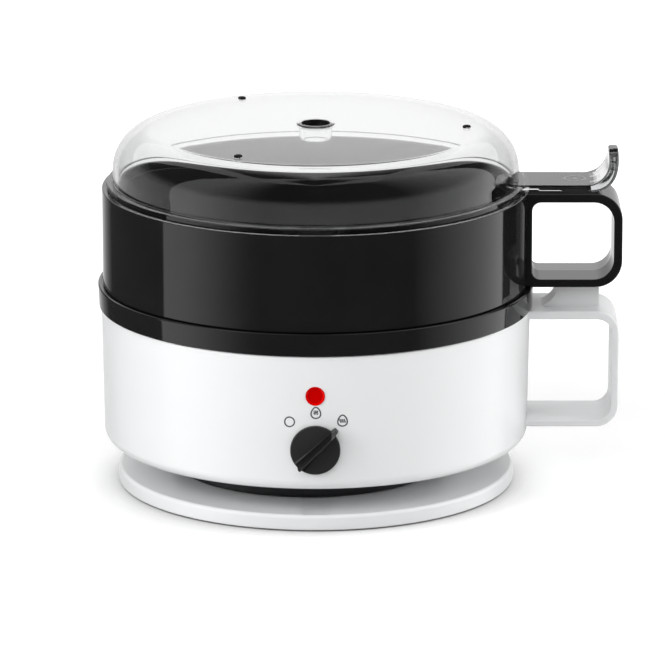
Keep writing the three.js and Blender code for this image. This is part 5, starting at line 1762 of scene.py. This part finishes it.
    def build_lamps(self) -> None:
        """Build the soft lamps: wide ones in front and behind, and one at each side."""
        for name, azimuth, height, size, watts in (
            ("lamp_front", -22.5, 35.0, (2.4, 0.8), 16.8),
            ("lamp_left", -63.4, 18.0, (1.2, 1.2), 20.5),
            ("lamp_right", 90.0, 17.0, (1.5, 0.9), 29.0),
            ("lamp_back", 180.0, 35.0, (2.4, 0.8), 9.0),
            ("lamp_over", 0.0, 84.0, (1.6, 1.6), 2.5),
        ):
            data = bpy.data.lights.new(name, "AREA")
            data.shape, data.energy = "RECTANGLE", watts
            data.size, data.size_y = size
            lamp = bpy.data.objects.new(name, data)
            turn, rise = math.radians(azimuth), math.radians(height)
            way = Vector((math.sin(turn) * math.cos(rise), -math.cos(turn) * math.cos(rise), math.sin(rise)))
            lamp.location = Vector((0.0, 0.0, 0.07)) + way * 2.0
            lamp.rotation_euler = (-way).to_track_quat("-Z", "Y").to_euler()
            lamp.visible_glossy = False
            lamp.visible_transmission = False
            bpy.context.collection.objects.link(lamp)

    def build_camera(self) -> None:
        """Build the camera."""
        data = bpy.data.cameras.new("camera")
        data.lens, data.sensor_width = self.lens, 36.0
        data.clip_end = 100.0
        camera = bpy.data.objects.new("camera", data)
        tilt = math.radians(self.elevation)
        target = Vector(self.target) * MM
        back = Vector((0.0, -math.cos(tilt), math.sin(tilt))) * self.distance * MM
        camera.location = target + back
        camera.rotation_euler = (math.radians(90) - tilt, 0.0, 0.0)
        bpy.context.collection.objects.link(camera)
        bpy.context.scene.camera = camera


# ---------------------------------------------------------------- the CAD nodes that stay


def dress_nodes() -> None:
    """Give every CAD node that is still shown its finish."""
    for name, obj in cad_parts.items():
        if obj.hide_render:
            continue
        finish = next((f for start, f in CAD_FINISHES.items() if name.startswith(start)), None)
        if finish is None:
            raise KeyError(f"no finish for {name}")
        material = finish.material()
        for slot in obj.material_slots:
            slot.material = material
        LOG.info("%s keeps its shape and gets %s", name, finish.name)


def main() -> None:
    """Build the finished egg cooker and its studio."""
    logging.basicConfig(level=logging.INFO, format="%(name)s: %(message)s")
    bpy.context.scene.view_settings.view_transform = "Standard"
    Groups.make()
    Studio().build()
    Base().build()
    Bowl().build()
    Carrier().build()
    Lid().build()
    Controls().build()
    dress_nodes()


if __name__ == "__main__":
    main()
